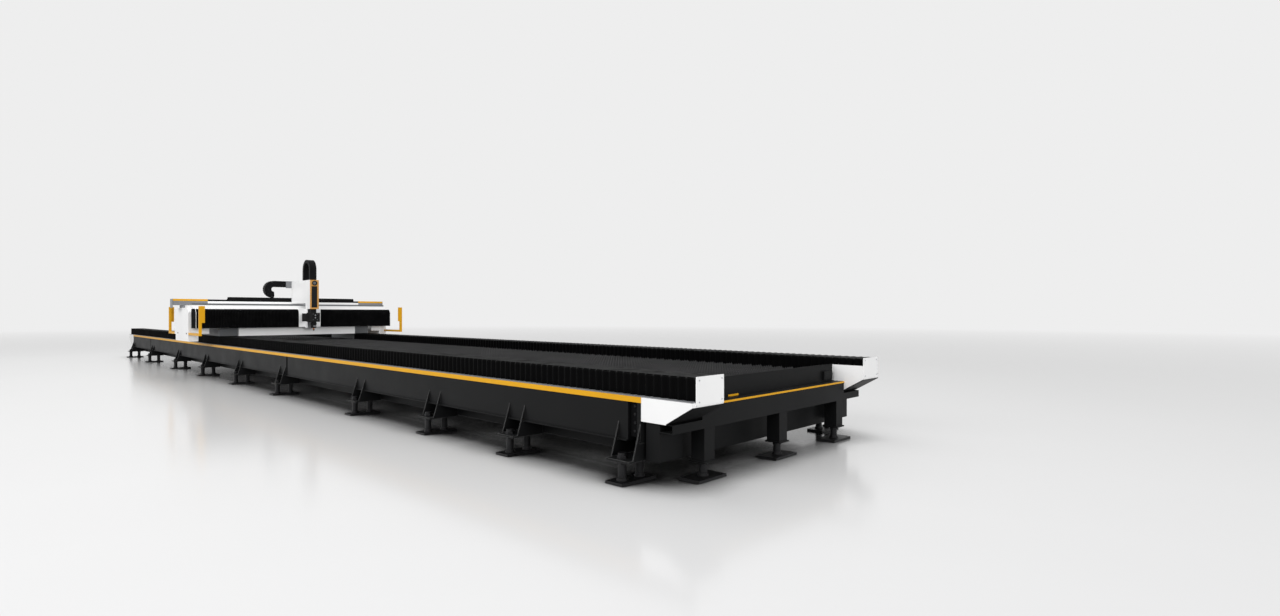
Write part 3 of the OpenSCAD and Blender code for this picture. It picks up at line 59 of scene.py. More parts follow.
# Camera at the photograph's place, level, with the horizon a little under the middle of the frame
PHOTO_WIDTH = 1280
PHOTO_HEIGHT = 616
FOCAL_PIXELS = 647.19
HORIZON_ROW = 313.55
SENSOR_MM = 36.0
CAMERA_PLACE = (15.6006, -5.7282, 1.45)
CAMERA_TURN_DEG = 43.615
CAMERA_REACH = 500

camera_data = bpy.data.cameras.new("camera")
camera_data.sensor_fit = "HORIZONTAL"
camera_data.sensor_width = SENSOR_MM
camera_data.lens = FOCAL_PIXELS / PHOTO_WIDTH * SENSOR_MM
camera_data.shift_y = (HORIZON_ROW - PHOTO_HEIGHT / 2) / PHOTO_WIDTH
camera_data.clip_end = CAMERA_REACH
camera = bpy.data.objects.new("camera", camera_data)
camera.location = CAMERA_PLACE
camera.rotation_euler = (math.radians(90), 0, math.radians(CAMERA_TURN_DEG))
scene.collection.objects.link(camera)
scene.camera = camera


# Shader nodes

# Places of the sockets of the mix node when it mixes colours
MIX_SHARE = 0
MIX_FIRST = 6
MIX_SECOND = 7
MIX_RESULT = 2

# Dot product of the rounded and the true normal on a flat face, and at a sharp edge
EDGE_FLAT = 0.985
EDGE_SHARP = 0.8
EDGE_SAMPLES = 4


def is_socket(value):
    """True for a socket of another node, false for a constant."""
    return isinstance(value, bpy.types.NodeSocket)


def feed(tree, socket, value):
    """Links a socket to another node's value, or sets a constant on it."""
    if is_socket(value):
        tree.links.new(value, socket)
    else:
        socket.default_value = value


def add(tree, kind, inputs=None, **settings):
    """Adds a shader node, sets its settings, and feeds its inputs."""
    item = tree.nodes.new(kind)
    for key, value in settings.items():
        setattr(item, key, value)
    for key, value in (inputs or {}).items():
        feed(tree, item.inputs[key], value)
    return item


def new_material(name, rough, metal=0.0):
    """A material with a plain shader, and the object's own coordinates."""
    material = bpy.data.materials.new(name)
    material.use_nodes = True
    tree = material.node_tree
    shader = tree.nodes["Principled BSDF"]
    shader.inputs["Roughness"].default_value = rough
    shader.inputs["Metallic"].default_value = metal
    place = add(tree, "ShaderNodeTexCoord").outputs["Object"]
    return material, tree, shader, place


def noise(tree, place, scale, detail, stretch=(1, 1, 1)):
    """Value of a noise texture, from 0 to 1, stretched along the axes."""
    mapped = add(tree, "ShaderNodeMapping", {"Vector": place, "Scale": stretch}).outputs[0]
    texture = add(tree, "ShaderNodeTexNoise", {"Vector": mapped, "Scale": scale, "Detail": detail})
    return texture.outputs["Fac"]


def ramp(tree, value, low, high, out_low=0.0, out_high=1.0):
    """The value mapped from one range to another and held inside it."""
    item = add(tree, "ShaderNodeMapRange", {"Value": value, "From Min": low, "From Max": high,
                                            "To Min": out_low, "To Max": out_high})
    return item.outputs["Result"]


def mix(tree, share, first, second):
    """A colour between two colours."""
    item = add(tree, "ShaderNodeMix", {MIX_SHARE: share}, data_type="RGBA")
    for index, colour in ((MIX_FIRST, first), (MIX_SECOND, second)):
        feed(tree, item.inputs[index], colour if is_socket(colour) else (*colour, 1.0))
    return item.outputs[MIX_RESULT]


def product(tree, first, second):
    """Two values multiplied."""
    return add(tree, "ShaderNodeMath", {0: first, 1: second}, operation="MULTIPLY").outputs[0]


def edge_share(tree, radius):
    """About 1 along sharp edges and 0 on flat faces, and the normal of the rounded edges."""
    soft = add(tree, "ShaderNodeBevel", {"Radius": radius}, samples=EDGE_SAMPLES).outputs[0]
    flat = add(tree, "ShaderNodeNewGeometry").outputs["True Normal"]
    dot = add(tree, "ShaderNodeVectorMath", {0: soft, 1: flat}, operation="DOT_PRODUCT")
    return ramp(tree, dot.outputs["Value"], EDGE_FLAT, EDGE_SHARP), soft


def bump(tree, shader, height, strength, distance, normal=None):
    """Bumps the surface by a height, over a given normal if there is one."""
    item = add(tree, "ShaderNodeBump", {"Height": height, "Strength": strength, "Distance": distance})
    if normal is not None:
        feed(tree, item.inputs["Normal"], normal)
    feed(tree, shader.inputs["Normal"], item.outputs[0])


def shade(colour, factor):
    """A colour made darker or lighter."""
    return tuple(min(1.0, c * factor) for c in colour)


def tone(value):
    """A neutral grey."""
    return (value, value, value)


# Kinds of material. A pattern is the scale and detail of a noise: the larger the scale, the finer it is.
# A range is where an effect begins and where it is complete, and a bump is its strength and distance.

MIDDLE = (0.3, 0.7)
WIDE = (0.2, 0.8)
FINE_EDGE = 0.002


def varied(tree, share, colour, darkest, lightest):
    """A colour that goes from a darker to a lighter shade of itself."""
    return mix(tree, share, shade(colour, darkest), shade(colour, lightest))


def roughen(tree, shader, pattern, rough, spread):
    """Roughness that follows a pattern, from a little under its middle to a little over it."""
    feed(tree, shader.inputs["Roughness"], ramp(tree, pattern, *WIDE, rough - spread[0], rough + spread[1]))


# Powder-coated sheet
BRACKET_HIGHLIGHT_EDGE = 0.014
SHEET_EDGE = 0.004
SMALL_EDGE = 0.003
PAINT_PATCHES = (1.7, 5.0)
PAINT_CHIPS_AND_HIGHLIGHT = (23.0, 6.0)
PAINT_PEEL = (260.0, 2.0)
PAINT_BUMP = (0.08, 0.001)
PAINT_SPREAD = (0.06, 0.08)
DUST = (0.42, 0.41, 0.4)
DUST_PATTERN = (9.0, 8.0)
DUST_RANGE = (0.42, 0.75)
DUST_TILT = (0.5, 1.0)


def paint(name, colour, rough=0.45, edge=SHEET_EDGE, edge_wear_and_highlight=tone(0.3), edge_wear_and_highlight_amount=0.25, patch=0.06,
          dust=0.0, shine=0.5, chip_and_highlight_range=(0.45, 0.7)):
    """Powder coat: soft patches, orange peel, dust on top faces, and rounded edges in an edge colour that is
    rubbed paint, and on the brackets a painted highlight.
    """
    material, tree, shader, place = new_material(name, rough)
    shader.inputs["Specular IOR Level"].default_value = shine
    patches = noise(tree, place, *PAINT_PATCHES)
    base = varied(tree, ramp(tree, patches, *MIDDLE), colour, 1 - patch, 1 + patch)
    if dust > 0:
        normal = add(tree, "ShaderNodeNewGeometry").outputs["Normal"]
        up = add(tree, "ShaderNodeSeparateXYZ", {0: normal}).outputs["Z"]
        specks = ramp(tree, noise(tree, place, *DUST_PATTERN), *DUST_RANGE, 0.0, dust)
        base = mix(tree, product(tree, ramp(tree, up, *DUST_TILT), specks), base, DUST)
    edges, soft_normal = edge_share(tree, edge)
    # Edge colour in patches along the edges: rubbed paint, and on the brackets a painted highlight
    chipped_and_highlit = ramp(tree, noise(tree, place, *PAINT_CHIPS_AND_HIGHLIGHT), *chip_and_highlight_range, 0.0, edge_wear_and_highlight_amount)
    feed(tree, shader.inputs["Base Color"], mix(tree, product(tree, edges, chipped_and_highlit), base, edge_wear_and_highlight))
    bump(tree, shader, noise(tree, place, *PAINT_PEEL), *PAINT_BUMP, soft_normal)
    roughen(tree, shader, patches, rough, PAINT_SPREAD)
    return material


# Bare metal
STEEL_LINES = (320.0, 3.0)
STEEL_SHADES = (0.86, 1.1)
STEEL_BUMP = (0.06, 0.0005)
STEEL_SPREAD = (0.08, 0.12)
STEEL_BRIGHT = 1.35
STEEL_RUBBED = 0.5
OIL = (0.2, 0.17, 0.14)
OIL_PATTERN = (4.0, 7.0)
OIL_RANGE = (0.5, 0.75)


def metal(name, colour, rough, stretch, stain=OIL, stain_amount=0.2):
    """Machined metal: brushed lines along one axis, darker oil stains and bright rubbed edges."""
    material, tree, shader, place = new_material(name, rough, 1.0)
    lines = noise(tree, place, *STEEL_LINES, stretch)
    stains = ramp(tree, noise(tree, place, *OIL_PATTERN), *OIL_RANGE, 0.0, stain_amount)
    base = varied(tree, ramp(tree, lines, *MIDDLE), colour, *STEEL_SHADES)
    base = mix(tree, stains, base, stain)
    edges, soft_normal = edge_share(tree, FINE_EDGE)
    rubbed = product(tree, edges, STEEL_RUBBED)
    feed(tree, shader.inputs["Base Color"], mix(tree, rubbed, base, shade(colour, STEEL_BRIGHT)))
    roughen(tree, shader, lines, rough, STEEL_SPREAD)
    bump(tree, shader, lines, *STEEL_BUMP, soft_normal)
    return material


# Moulded plastic
PLASTIC_PATCHES = (6.0, 5.0)
PLASTIC_SHADES = (0.8, 1.25)
PLASTIC_SPREAD = (0.08, 0.08)
PLASTIC_RUBBED = 0.35
MATT_GRAIN = (420.0, 3.0)
MATT_BUMP = (0.12, 0.0006)
GLOSS_GRAIN = (300.0, 3.0)
GLOSS_BUMP = (0.03, 0.0006)


def plastic(name, colour, rough, grain=MATT_GRAIN, grain_bump=MATT_BUMP, shine=0.2, rubbed=0.09):
    """Moulded plastic: fine grain, slight shine, faintly paler rubbed edges."""
    material, tree, shader, place = new_material(name, rough)
    shader.inputs["Specular IOR Level"].default_value = shine
    patches = noise(tree, place, *PLASTIC_PATCHES)
    base = varied(tree, ramp(tree, patches, *MIDDLE), colour, *PLASTIC_SHADES)
    edges, soft_normal = edge_share(tree, FINE_EDGE)
    paler_marks = product(tree, edges, PLASTIC_RUBBED)
    feed(tree, shader.inputs["Base Color"], mix(tree, paler_marks, base, tone(rubbed)))
    bump(tree, shader, noise(tree, place, *grain), *grain_bump, soft_normal)
    roughen(tree, shader, patches, rough, PLASTIC_SPREAD)
    return material


# Coated cloth
CLOTH_ROUGH = 0.62
CLOTH_SHINE = 0.045
CLOTH_WEAVE = {"Scale": 210.0, "Distortion": 0.6, "Detail": 1.0}
CLOTH_SHADES = (0.75, 1.3)
CLOTH_BUMP = (0.15, 0.0006)
SCUFF_PATTERN = (5.0, 8.0)
SCUFF_RANGE = (0.5, 0.78)
SCUFF_SHARE = 0.35
SCUFF_PALER = 2.4
SCUFF_ROUGH = (0.55, 0.75)
# Painted highlight: a paler colour along the pleat ridges, broken up by a noise
RIDGE_HIGHLIGHT_EDGE = 0.006
RIDGE_HIGHLIGHT = (0.03, 0.03, 0.031)
RIDGE_HIGHLIGHT_PATTERN = (7.0, 6.0)
RIDGE_HIGHLIGHT_RANGE = (0.4, 0.65)
RIDGE_HIGHLIGHT_SHARE = 0.7


def coated_cloth(name, colour):
    """Folded bellows cloth: a fine weave under a rubbery coat, with paler scuffs and a painted highlight
    along the ridges.
    """
    material, tree, shader, place = new_material(name, CLOTH_ROUGH)
    shader.inputs["Specular IOR Level"].default_value = CLOTH_SHINE
    weave = []
    for axis in ("X", "Z"):
        wave = add(tree, "ShaderNodeTexWave", {"Vector": place, **CLOTH_WEAVE}, bands_direction=axis)
        weave.append(wave.outputs["Fac"])
    cloth = product(tree, weave[0], weave[1])
    scuffs = ramp(tree, noise(tree, place, *SCUFF_PATTERN), *SCUFF_RANGE, 0.0, SCUFF_SHARE)
    base = varied(tree, cloth, colour, *CLOTH_SHADES)
    base = mix(tree, scuffs, base, shade(colour, SCUFF_PALER))
    # Painted highlight on the pleat ridges
    ridges = edge_share(tree, RIDGE_HIGHLIGHT_EDGE)[0]
    paler_marks = ramp(tree, noise(tree, place, *RIDGE_HIGHLIGHT_PATTERN), *RIDGE_HIGHLIGHT_RANGE, 0.0, RIDGE_HIGHLIGHT_SHARE)
    feed(tree, shader.inputs["Base Color"], mix(tree, product(tree, ridges, paler_marks), base, RIDGE_HIGHLIGHT))
    bump(tree, shader, cloth, *CLOTH_BUMP)
    feed(tree, shader.inputs["Roughness"], ramp(tree, scuffs, 0.0, SCUFF_SHARE, *SCUFF_ROUGH))
    return material


# Threaded bolts
THREAD_ROUGH = 0.42
THREAD_METAL = 0.85
THREAD_RINGS = {"Scale": 60.0, "Distortion": 0.15}
THREAD_BUMP = (0.5, 0.002)
CREST_COLOUR = (0.2, 0.2, 0.21)
CREST_RANGE = (0.75, 1.0)
CREST_SHARE = 0.35
SOOT_PATTERN = (30.0, 6.0)
SOOT_RANGE = (0.4, 0.8)
SOOT_SHARE = 0.5
SOOT_DARKER = 0.5


def threaded(name, colour):
    """Blackened levelling bolts: thread rings round the upright axis, with bright worn crests."""
    material, tree, shader, place = new_material(name, THREAD_ROUGH, THREAD_METAL)
    wave = add(tree, "ShaderNodeTexWave", {"Vector": place, **THREAD_RINGS}, bands_direction="Z")
    rings = wave.outputs["Fac"]
    paler_marks = product(tree, ramp(tree, rings, *CREST_RANGE), CREST_SHARE)
    soot = ramp(tree, noise(tree, place, *SOOT_PATTERN), *SOOT_RANGE, 0.0, SOOT_SHARE)
    base = mix(tree, soot, colour, shade(colour, SOOT_DARKER))
    feed(tree, shader.inputs["Base Color"], mix(tree, paler_marks, base, CREST_COLOUR))
    bump(tree, shader, rings, *THREAD_BUMP)
    return material


# Table steel
TABLE_ROUGH = 0.6
TABLE_METAL = 0.35
TABLE_PITS = (90.0, 5.0)
TABLE_BUMP = (0.2, 0.001)
TINT_PATTERN = (2.2, 8.0)
TINT_RANGE = (0.35, 0.72)
TINT_SHADES = (0.75, 1.25)
TINT_ROUGH = (0.5, 0.7)
SLAG = (0.12, 0.1, 0.085)
SLAG_PATTERN = (70.0, 4.0)
SLAG_RANGE = (0.66, 0.78)
SLAG_SHARE = 0.6


def scorched(name, colour):
    """Table steel: dull pitted plate with heat tint and slag specks."""
    material, tree, shader, place = new_material(name, TABLE_ROUGH, TABLE_METAL)
    tint = ramp(tree, noise(tree, place, *TINT_PATTERN), *TINT_RANGE)
    base = varied(tree, tint, colour, *TINT_SHADES)
    specks = ramp(tree, noise(tree, place, *SLAG_PATTERN), *SLAG_RANGE, 0.0, SLAG_SHARE)
    feed(tree, shader.inputs["Base Color"], mix(tree, specks, base, SLAG))
    bump(tree, shader, noise(tree, place, *TABLE_PITS), *TABLE_BUMP)
    feed(tree, shader.inputs["Roughness"], ramp(tree, tint, 0.0, 1.0, *TINT_ROUGH))
    return material


# Materials of the record's slots, and two more for the brackets and the covers of the cross beam
CHARCOAL = (0.0072, 0.0074, 0.0077)
YELLOW = (0.7, 0.35, 0.01)
WHITE = tone(0.86)
materials = {
    "charcoal": paint("charcoal_coat", CHARCOAL, 0.48, edge_wear_and_highlight=tone(0.08), dust=0.012, shine=0.09),
    # Painted highlight: light, nearly unbroken edges on the brackets, where light catches their gussets
    "bracket": paint("bracket_painted_highlight", CHARCOAL, 0.48, BRACKET_HIGHLIGHT_EDGE, tone(0.1), 1.0, shine=0.09,
                     chip_and_highlight_range=(0.1, 0.5)),
    "joint_black": paint("joint_coat", (0.006, 0.006, 0.0064), 0.7, SMALL_EDGE, tone(0.04), 0.2, shine=0.01),
    "yellow": paint("yellow_coat", YELLOW, 0.4, SMALL_EDGE, (0.5, 0.26, 0.03), 0.3, patch=0.04, shine=0.2),
    "white": paint("white_coat", WHITE, 0.38, edge_wear_and_highlight=tone(0.6), patch=0.02),
    "grey": paint("grey_coat", (0.2, 0.205, 0.215), edge_wear_and_highlight=(0.35, 0.35, 0.36), edge_wear_and_highlight_amount=0.3),
    "foot_black": threaded("foot_black", (0.02, 0.02, 0.021)),
    "table_steel": scorched("table_steel", (0.053, 0.053, 0.054)),
    "bright_steel": metal("bright_steel", (0.55, 0.56, 0.58), 0.28, (0.02, 1, 1)),
    "rack_steel": metal("rack_steel", (0.25, 0.26, 0.27), 0.42, (0.05, 1, 1)),
    "slider_grey": paint("slider_coat", (0.1, 0.105, 0.11), 0.4, SMALL_EDGE, edge_wear_and_highlight_amount=0.3),
    "bellows": coated_cloth("bellows_cloth", (0.001, 0.001, 0.0011)),
    "cover": coated_cloth("cover_cloth", (0.0028, 0.0028, 0.003)),
    "motor_black": paint("motor_coat", (0.015, 0.015, 0.016), 0.5, SMALL_EDGE, tone(0.15), 0.3),
    "chain_black": plastic("chain_plastic", (0.006, 0.006, 0.0064), 0.5, shine=0.08, rubbed=0.02),
    "amber": paint("amber_coat", (0.62, 0.31, 0.08), 0.4, SMALL_EDGE, (0.5, 0.35, 0.15), shine=0.2),
    "gloss_black": plastic("gloss_plastic", (0.006, 0.006, 0.0065), 0.18, GLOSS_GRAIN, GLOSS_BUMP),
    "slide_alu": metal("slide_alu", (0.5, 0.51, 0.52), 0.35, (1, 1, 0.03), stain_amount=0.08),
    "head_dark": paint("head_coat", (0.013, 0.0128, 0.0125), 0.5, SMALL_EDGE, tone(0.12), shine=0.12),
    "copper": metal("copper", (0.72, 0.32, 0.16), 0.25, (1, 1, 0.05), (0.25, 0.1, 0.05), 0.3),
}
for part in frame["record"]["subparts"]:
    mesh = nodes[part["node"]].data
    mesh.materials.clear()
    mesh.materials.append(materials[part["material_slot"]])
nodes["foot_brackets"].data.materials[0] = materials["bracket"]


# Mesh building

ARC_STEP_DEG = 15
PLACE_DIGITS = 4

# Sides of the machine, and the way that each one faces along Y
SIDES = (("near", -1), ("far", 1))


def mesh_object(name, points, faces, material):
    """An object with a mesh made of points and faces."""
    mesh = bpy.data.meshes.new(name)
    mesh.from_pydata(points, [], faces)
    mesh.validate()
    mesh.materials.append(material)
    item = bpy.data.objects.new(name, mesh)
    scene.collection.objects.link(item)
    return item


class Builder:
    """Gathers points and faces of many small shapes for one piece."""

    def __init__(self):
        self.points = []
        self.faces = []

    def ring_loft(self, rings, closed=True):
        """Joins rings of points: closed rings make a tube with end faces, open ones a sheet."""
        size = len(rings[0])
        start = len(self.points)
        for ring in rings:
            self.points.extend(tuple(p) for p in ring)
        for i in range(len(rings) - 1):
            here = start + i * size
            there = here + size
            for k in range(size if closed else size - 1):
                n = (k + 1) % size
                self.faces.append((here + k, here + n, there + n, there + k))
        if closed:
            last = start + (len(rings) - 1) * size
            self.faces.append(tuple(start + k for k in range(size - 1, -1, -1)))
            self.faces.append(tuple(last + k for k in range(size)))

    def prism(self, outline, place, depth):
        """A flat outline pushed along by depth; place turns (u, v, w) into a point."""
        self.ring_loft([[place(u, v, w) for u, v in outline] for w in (0.0, depth)])

    def block(self, low, high):
        """A box between two corners."""
        outline = [(low[0], low[1]), (high[0], low[1]), (high[0], high[1]), (low[0], high[1])]
        self.prism(outline, lambda u, v, w: (u, v, low[2] + w), high[2] - low[2])

    def make(self, name, slot, closed=True):
        """The piece itself. Closed shapes get their faces turned outwards, a sheet keeps their order."""
        item = mesh_object(name, self.points, self.faces, materials[slot])
        if closed:
            work = bmesh.new()
            work.from_mesh(item.data)
            bmesh.ops.recalc_face_normals(work, faces=work.faces)
            work.to_mesh(item.data)
            work.free()
        return item


def round_corner(u, v, radius):
    """Points of a quarter circle in the corner (u, v), from its top edge round to its side."""
    angles = [math.radians(w) for w in range(90, -1, -ARC_STEP_DEG)]
    return [(u - radius + radius * math.cos(w), v - radius + radius * math.sin(w)) for w in angles]


def spread(start, end, count):
    """Evenly spaced places from start to end."""
    return [start + (end - start) * k / (count - 1) for k in range(count)]


def spans(node):
    """Start and end along the bed of each of a node's blocks."""
    places = sorted({round(v.co.x, PLACE_DIGITS) for v in nodes[node].data.vertices})
    return list(zip(places[0::2], places[1::2]))


# Bellows: fine pleats with rounded folds in place of the coarse ones of the solids

FOLD_PLACES = (0.0, 0.09, 0.41, 0.5, 0.59, 0.91)
FOLD_DEPTHS = (0.0, 0.08, 0.92, 1.0, 0.92, 0.08)
FEWEST_FOLDS = 4
BED_PITCH = 0.09
BED_FOLD = 0.02
ROOF_SHARE = 0.2
ROOF_CORNER = 0.012
BEAM_PITCH = 0.03
BEAM_FOLD = 0.016
COVER_ROUND = 0.11


def fold_count(start, end, pitch):
    """Number of pleats between two places."""
    return max(FEWEST_FOLDS, round((end - start) / pitch))


def pleats(start, end, pitch, depth, outline):
    """Rings of a pleated wall between two places; outline(place, inset) gives one ring."""
    count = fold_count(start, end, pitch)
    step = (end - start) / count
    rings = []
    for i in range(count):
        for share, inset in zip(FOLD_PLACES, FOLD_DEPTHS):
            rings.append(outline(start + (i + share) * step, inset * depth))
    rings.append(outline(end, 0.0))
    return rings


def folded_sheet(node, rings):
    """The pleated sheet that stands for a node."""
    builder = Builder()
    builder.ring_loft(rings, closed=False)
    item = builder.make(node + "_folds", "bellows", closed=False)
    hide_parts(node)
    return item


def bed_bellows(node, pitch, depth):
    """Pleated roof over a guide of the bed, between two bodies; its top folds less than its sides."""
    low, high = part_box(node)

    def outline(x, inset):
        y0 = low.y + inset
        y1 = high.y - inset
        top = high.z - ROOF_SHARE * inset
        return [(x, y1, low.z), (x, y1, top - ROOF_CORNER), (x, y1 - ROOF_CORNER, top),
                (x, y0 + ROOF_CORNER, top), (x, y0, top - ROOF_CORNER), (x, y0, low.z)]

    item = folded_sheet(node, pleats(low.x, high.x, pitch, depth, outline))
    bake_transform(item)


def beam_folds(node, pitch, depth):
    """Pleated cover on the front of the cross beam, with a round upper edge."""
    low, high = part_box(node)

    def outline(y, inset):
        front = high.x - inset
        top = high.z - inset
        bottom = low.z + inset
        ring = [(low.x, y, top)]
        ring += [(u, y, v) for u, v in round_corner(front, top, COVER_ROUND)]
        ring += [(front, y, bottom), (low.x, y, bottom)]
        return ring

    item = folded_sheet(node, pleats(low.y, high.y, pitch, depth, outline))
    item.data.materials[0] = materials["cover"]
    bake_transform(item)


for side in ("near", "far"):
    bed_bellows(side + "_front_bellows", BED_PITCH, BED_FOLD)
    bed_bellows(side + "_rear_bellows", BED_PITCH, BED_FOLD)
beam_folds("near_cover", BEAM_PITCH, BEAM_FOLD)
beam_folds("far_cover", BEAM_PITCH, BEAM_FOLD)


# Energy chains: links with side plates, tongues between them, and lids

LINK = 0.06
BEND_LINKS = 12
Z_CHAIN_HEIGHT = 0.08

# Thickness of a link's side plates. The tongues' reach is a share of its length, the rest of its height.
CHEEK = 0.016
CORNER_CUT = 0.22
TONGUE_REACH = 0.2
TONGUE_LOW = 0.28
TONGUE_HIGH = 0.72
LID_THICK = 0.12
LID_PLACES = (0.01, 0.87)


def chain_link(builder, place, length, height, width):
    """One link; place turns (along, up, across) into a point. Up runs from 0 to the chain's height."""
    cut = CORNER_CUT * height
    half = cut * 0.5
    body = [(half, 0), (length - half, 0), (length, cut), (length, height - cut),
            (length - half, height), (half, height), (0, height - cut), (0, cut)]
    for side in (0.0, width - CHEEK):
        builder.prism(body, lambda u, v, w, s=side: place(u, v, s + w), CHEEK)
    reach = TONGUE_REACH * length
    tongue_low = TONGUE_LOW * height
    tongue_high = TONGUE_HIGH * height
    tongue = [(-reach, tongue_low), (reach, tongue_low), (reach, tongue_high), (-reach, tongue_high)]
    overlap = 0.5 * CHEEK
    for side in (CHEEK, width - CHEEK - overlap):
        builder.prism(tongue, lambda u, v, w, s=side: place(u, v, s + w), overlap)
    for share in LID_PLACES:
        lid_low = share * height
        lid_high = lid_low + LID_THICK * height
        lid = [(0, lid_low), (length, lid_low), (length, lid_high), (0, lid_high)]
        builder.prism(lid, lambda u, v, w: place(u, v, CHEEK + w), width - 2 * CHEEK)


def straight_run(builder, start, end, height, width, place):
    """Links along a straight line from start to end."""
    count = max(1, round((end - start) / LINK))
    step = (end - start) / count
    for i in range(count):
        base = start + i * step
        chain_link(builder, lambda u, v, w, b=base: place(b + u, v, w), step, height, width)


def bent_run(builder, outer, height, width, place):
    """Links round a half circle, their tops inwards; place turns (sine, cosine, across) into a point."""
    for i in range(BEND_LINKS):
        def around(u, v, w, turn=math.pi * i / BEND_LINKS):
            """A point of this link, bent round the half circle."""
            angle = turn + u / LINK * math.pi / BEND_LINKS
            return place((outer - v) * math.sin(angle), (outer - v) * math.cos(angle), w)

        chain_link(builder, around, LINK, height, width)


def chain_piece(builder, node):
    """The links that stand for a node."""
    item = builder.make(node + "_links", "chain_black")
    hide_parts(node)
    return item


# Cross chain: a lower run in the tray, a rolling bend, and an upper run to the carriage
low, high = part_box("chain_lower")
chain_height = high.z - low.z
chain_width = high.x - low.x
run = Builder()
straight_run(run, low.y, high.y, chain_height, chain_width, lambda u, v, w: (low.x + w, u, low.z + v))
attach(chain_piece(run, "chain_lower"), "gantry")

upper_low, upper_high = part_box("chain_upper")
run = Builder()
straight_run(run, upper_low.y, upper_high.y, chain_height, chain_width,
             lambda u, v, w: (upper_low.x + w, u, upper_low.z + v))
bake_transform(chain_piece(run, "chain_upper"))

bend_low, bend_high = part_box("chain_bend")
bend_z = (bend_low.z + bend_high.z) / 2
bend_radius = (bend_high.z - bend_low.z) / 2
run = Builder()
bent_run(run, bend_radius, chain_height, chain_width,
         lambda sine, cosine, w: (bend_low.x + w, bend_high.y - sine, bend_z - cosine))
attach(chain_piece(run, "chain_bend"), "bend_body")

# Z chain: up from the housing, over, and down to the head
z_low, z_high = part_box("z_chain")
z_width = z_high.y - z_low.y
z_radius = (z_high.x - z_low.x) / 2
z_middle = (z_low.x + z_high.x) / 2
z_bend = z_high.z - z_radius
house_low, house_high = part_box("carriage_housing")
run = Builder()
straight_run(run, house_high.z, z_bend, Z_CHAIN_HEIGHT, z_width,
             lambda u, v, w: (z_low.x + v, z_low.y + w, u))
straight_run(run, z_low.z, z_bend, Z_CHAIN_HEIGHT, z_width,
             lambda u, v, w: (z_high.x - v, z_low.y + w, u))
bent_run(run, z_radius, Z_CHAIN_HEIGHT, z_width,
         lambda sine, cosine, w: (z_middle - cosine, z_low.y + w, z_bend + sine))
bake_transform(chain_piece(run, "z_chain"))


# Slats with pointed teeth

TOOTH_PITCH = 0.05
TOOTH_DEPTH = 0.016
slat_low, slat_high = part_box("slats")
teeth = round((slat_high.y - slat_low.y) / TOOTH_PITCH)
tooth_step = (slat_high.y - slat_low.y) / teeth
slat_outline = [(slat_high.y, slat_low.z), (slat_low.y, slat_low.z)]
for i in range(2 * teeth + 1):
    top = slat_high.z - (0.0 if i % 2 else TOOTH_DEPTH)
    slat_outline.append((slat_low.y + i * tooth_step / 2, top))
slat_run = Builder()
for x0, x1 in spans("slats"):
    slat_run.prism(slat_outline, lambda u, v, w, b=x0: (b + w, u, v), x1 - x0)
slat_piece = slat_run.make("slat_teeth", "table_steel")
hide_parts("slats")
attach(slat_piece, "bed")


# Dark skins of the gantry

SKIN = 0.003
saddle_low, saddle_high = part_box("saddles")
beam_low, beam_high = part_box("cross_beam")
cover_low, cover_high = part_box("near_cover")
cheek_arc = round_corner(cover_high.x, cover_high.z, COVER_ROUND)
for side, way in SIDES:
    # Sleeve on the outer face of a saddle, which carries the line of the bellows past the gantry
    cloth_low, cloth_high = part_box(side + "_front_bellows")
    y0 = saddle_low.y - SKIN if way < 0 else saddle_high.y
    sleeve = Builder()
    sleeve.block((saddle_low.x, y0, cloth_low.z), (saddle_high.x, y0 + SKIN, cloth_high.z))
    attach(sleeve.make(side + "_saddle_sleeve", "joint_black"), "gantry")

    # Cheek on the end of the cross beam, from the leg housing to the front of the cover
    leg_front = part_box(side + "_leg")[1].x
    beam_end = beam_low.y if way < 0 else beam_high.y
    outline = [(leg_front, cover_high.z), *cheek_arc, (cover_high.x, cover_low.z), (leg_front, cover_low.z)]
    cheek = Builder()
    cheek.prism(outline, lambda u, v, w, b=beam_end, s=way: (u, b + s * w, v), SKIN)
    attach(cheek.make(side + "_end_cheek", "joint_black"), "gantry")


# Fasteners, fins and fittings

# Outlines of a screw head and of a boss, as shares of their radius and height
SCREW_PROFILE = ((1.0, -0.02), (1.0, 0.45), (0.82, 0.6), (0.45, 0.6), (0.4, 0.3))
BOSS_PROFILE = ((1.0, 0.0), (1.0, 0.8), (0.88, 1.0))
SCREW_SIDES = 12
HEX_SIDES = 6
BOSS_SIDES = 20
LENS_SIDES = 28

# Radii of the screws and their distance from an edge
LEG_BOLT = 0.015
JOINT_BOLT = 0.014
HEAD_KNOB = 0.014
SCREW = 0.007
SMALL_SCREW = 0.006
INSET = 0.03


def turned(builder, place, normal, profile, radius, height, sides):
    """A round shape that stands on a face."""
    normal = Vector(normal)
    across = normal.orthogonal().normalized()
    other = normal.cross(across)
    rings = []
    for share, lift in profile:
        ring = []
        for k in range(sides):
            angle = 2 * math.pi * k / sides
            spoke = across * math.cos(angle) + other * math.sin(angle)
            ring.append(Vector(place) + spoke * (share * radius) + normal * (lift * height))
        rings.append(ring)
    builder.ring_loft(rings)


def screw(builder, place, normal, radius, sides=SCREW_SIDES):
    """A low head with a bevelled rim and a recess; six sides make a hex head."""
    turned(builder, place, normal, SCREW_PROFILE, radius, radius, sides)


def boss(builder, place, normal, radius, height, sides=BOSS_SIDES):
    """A short round boss with a bevelled edge."""
    turned(builder, place, normal, BOSS_PROFILE, radius, height, sides)


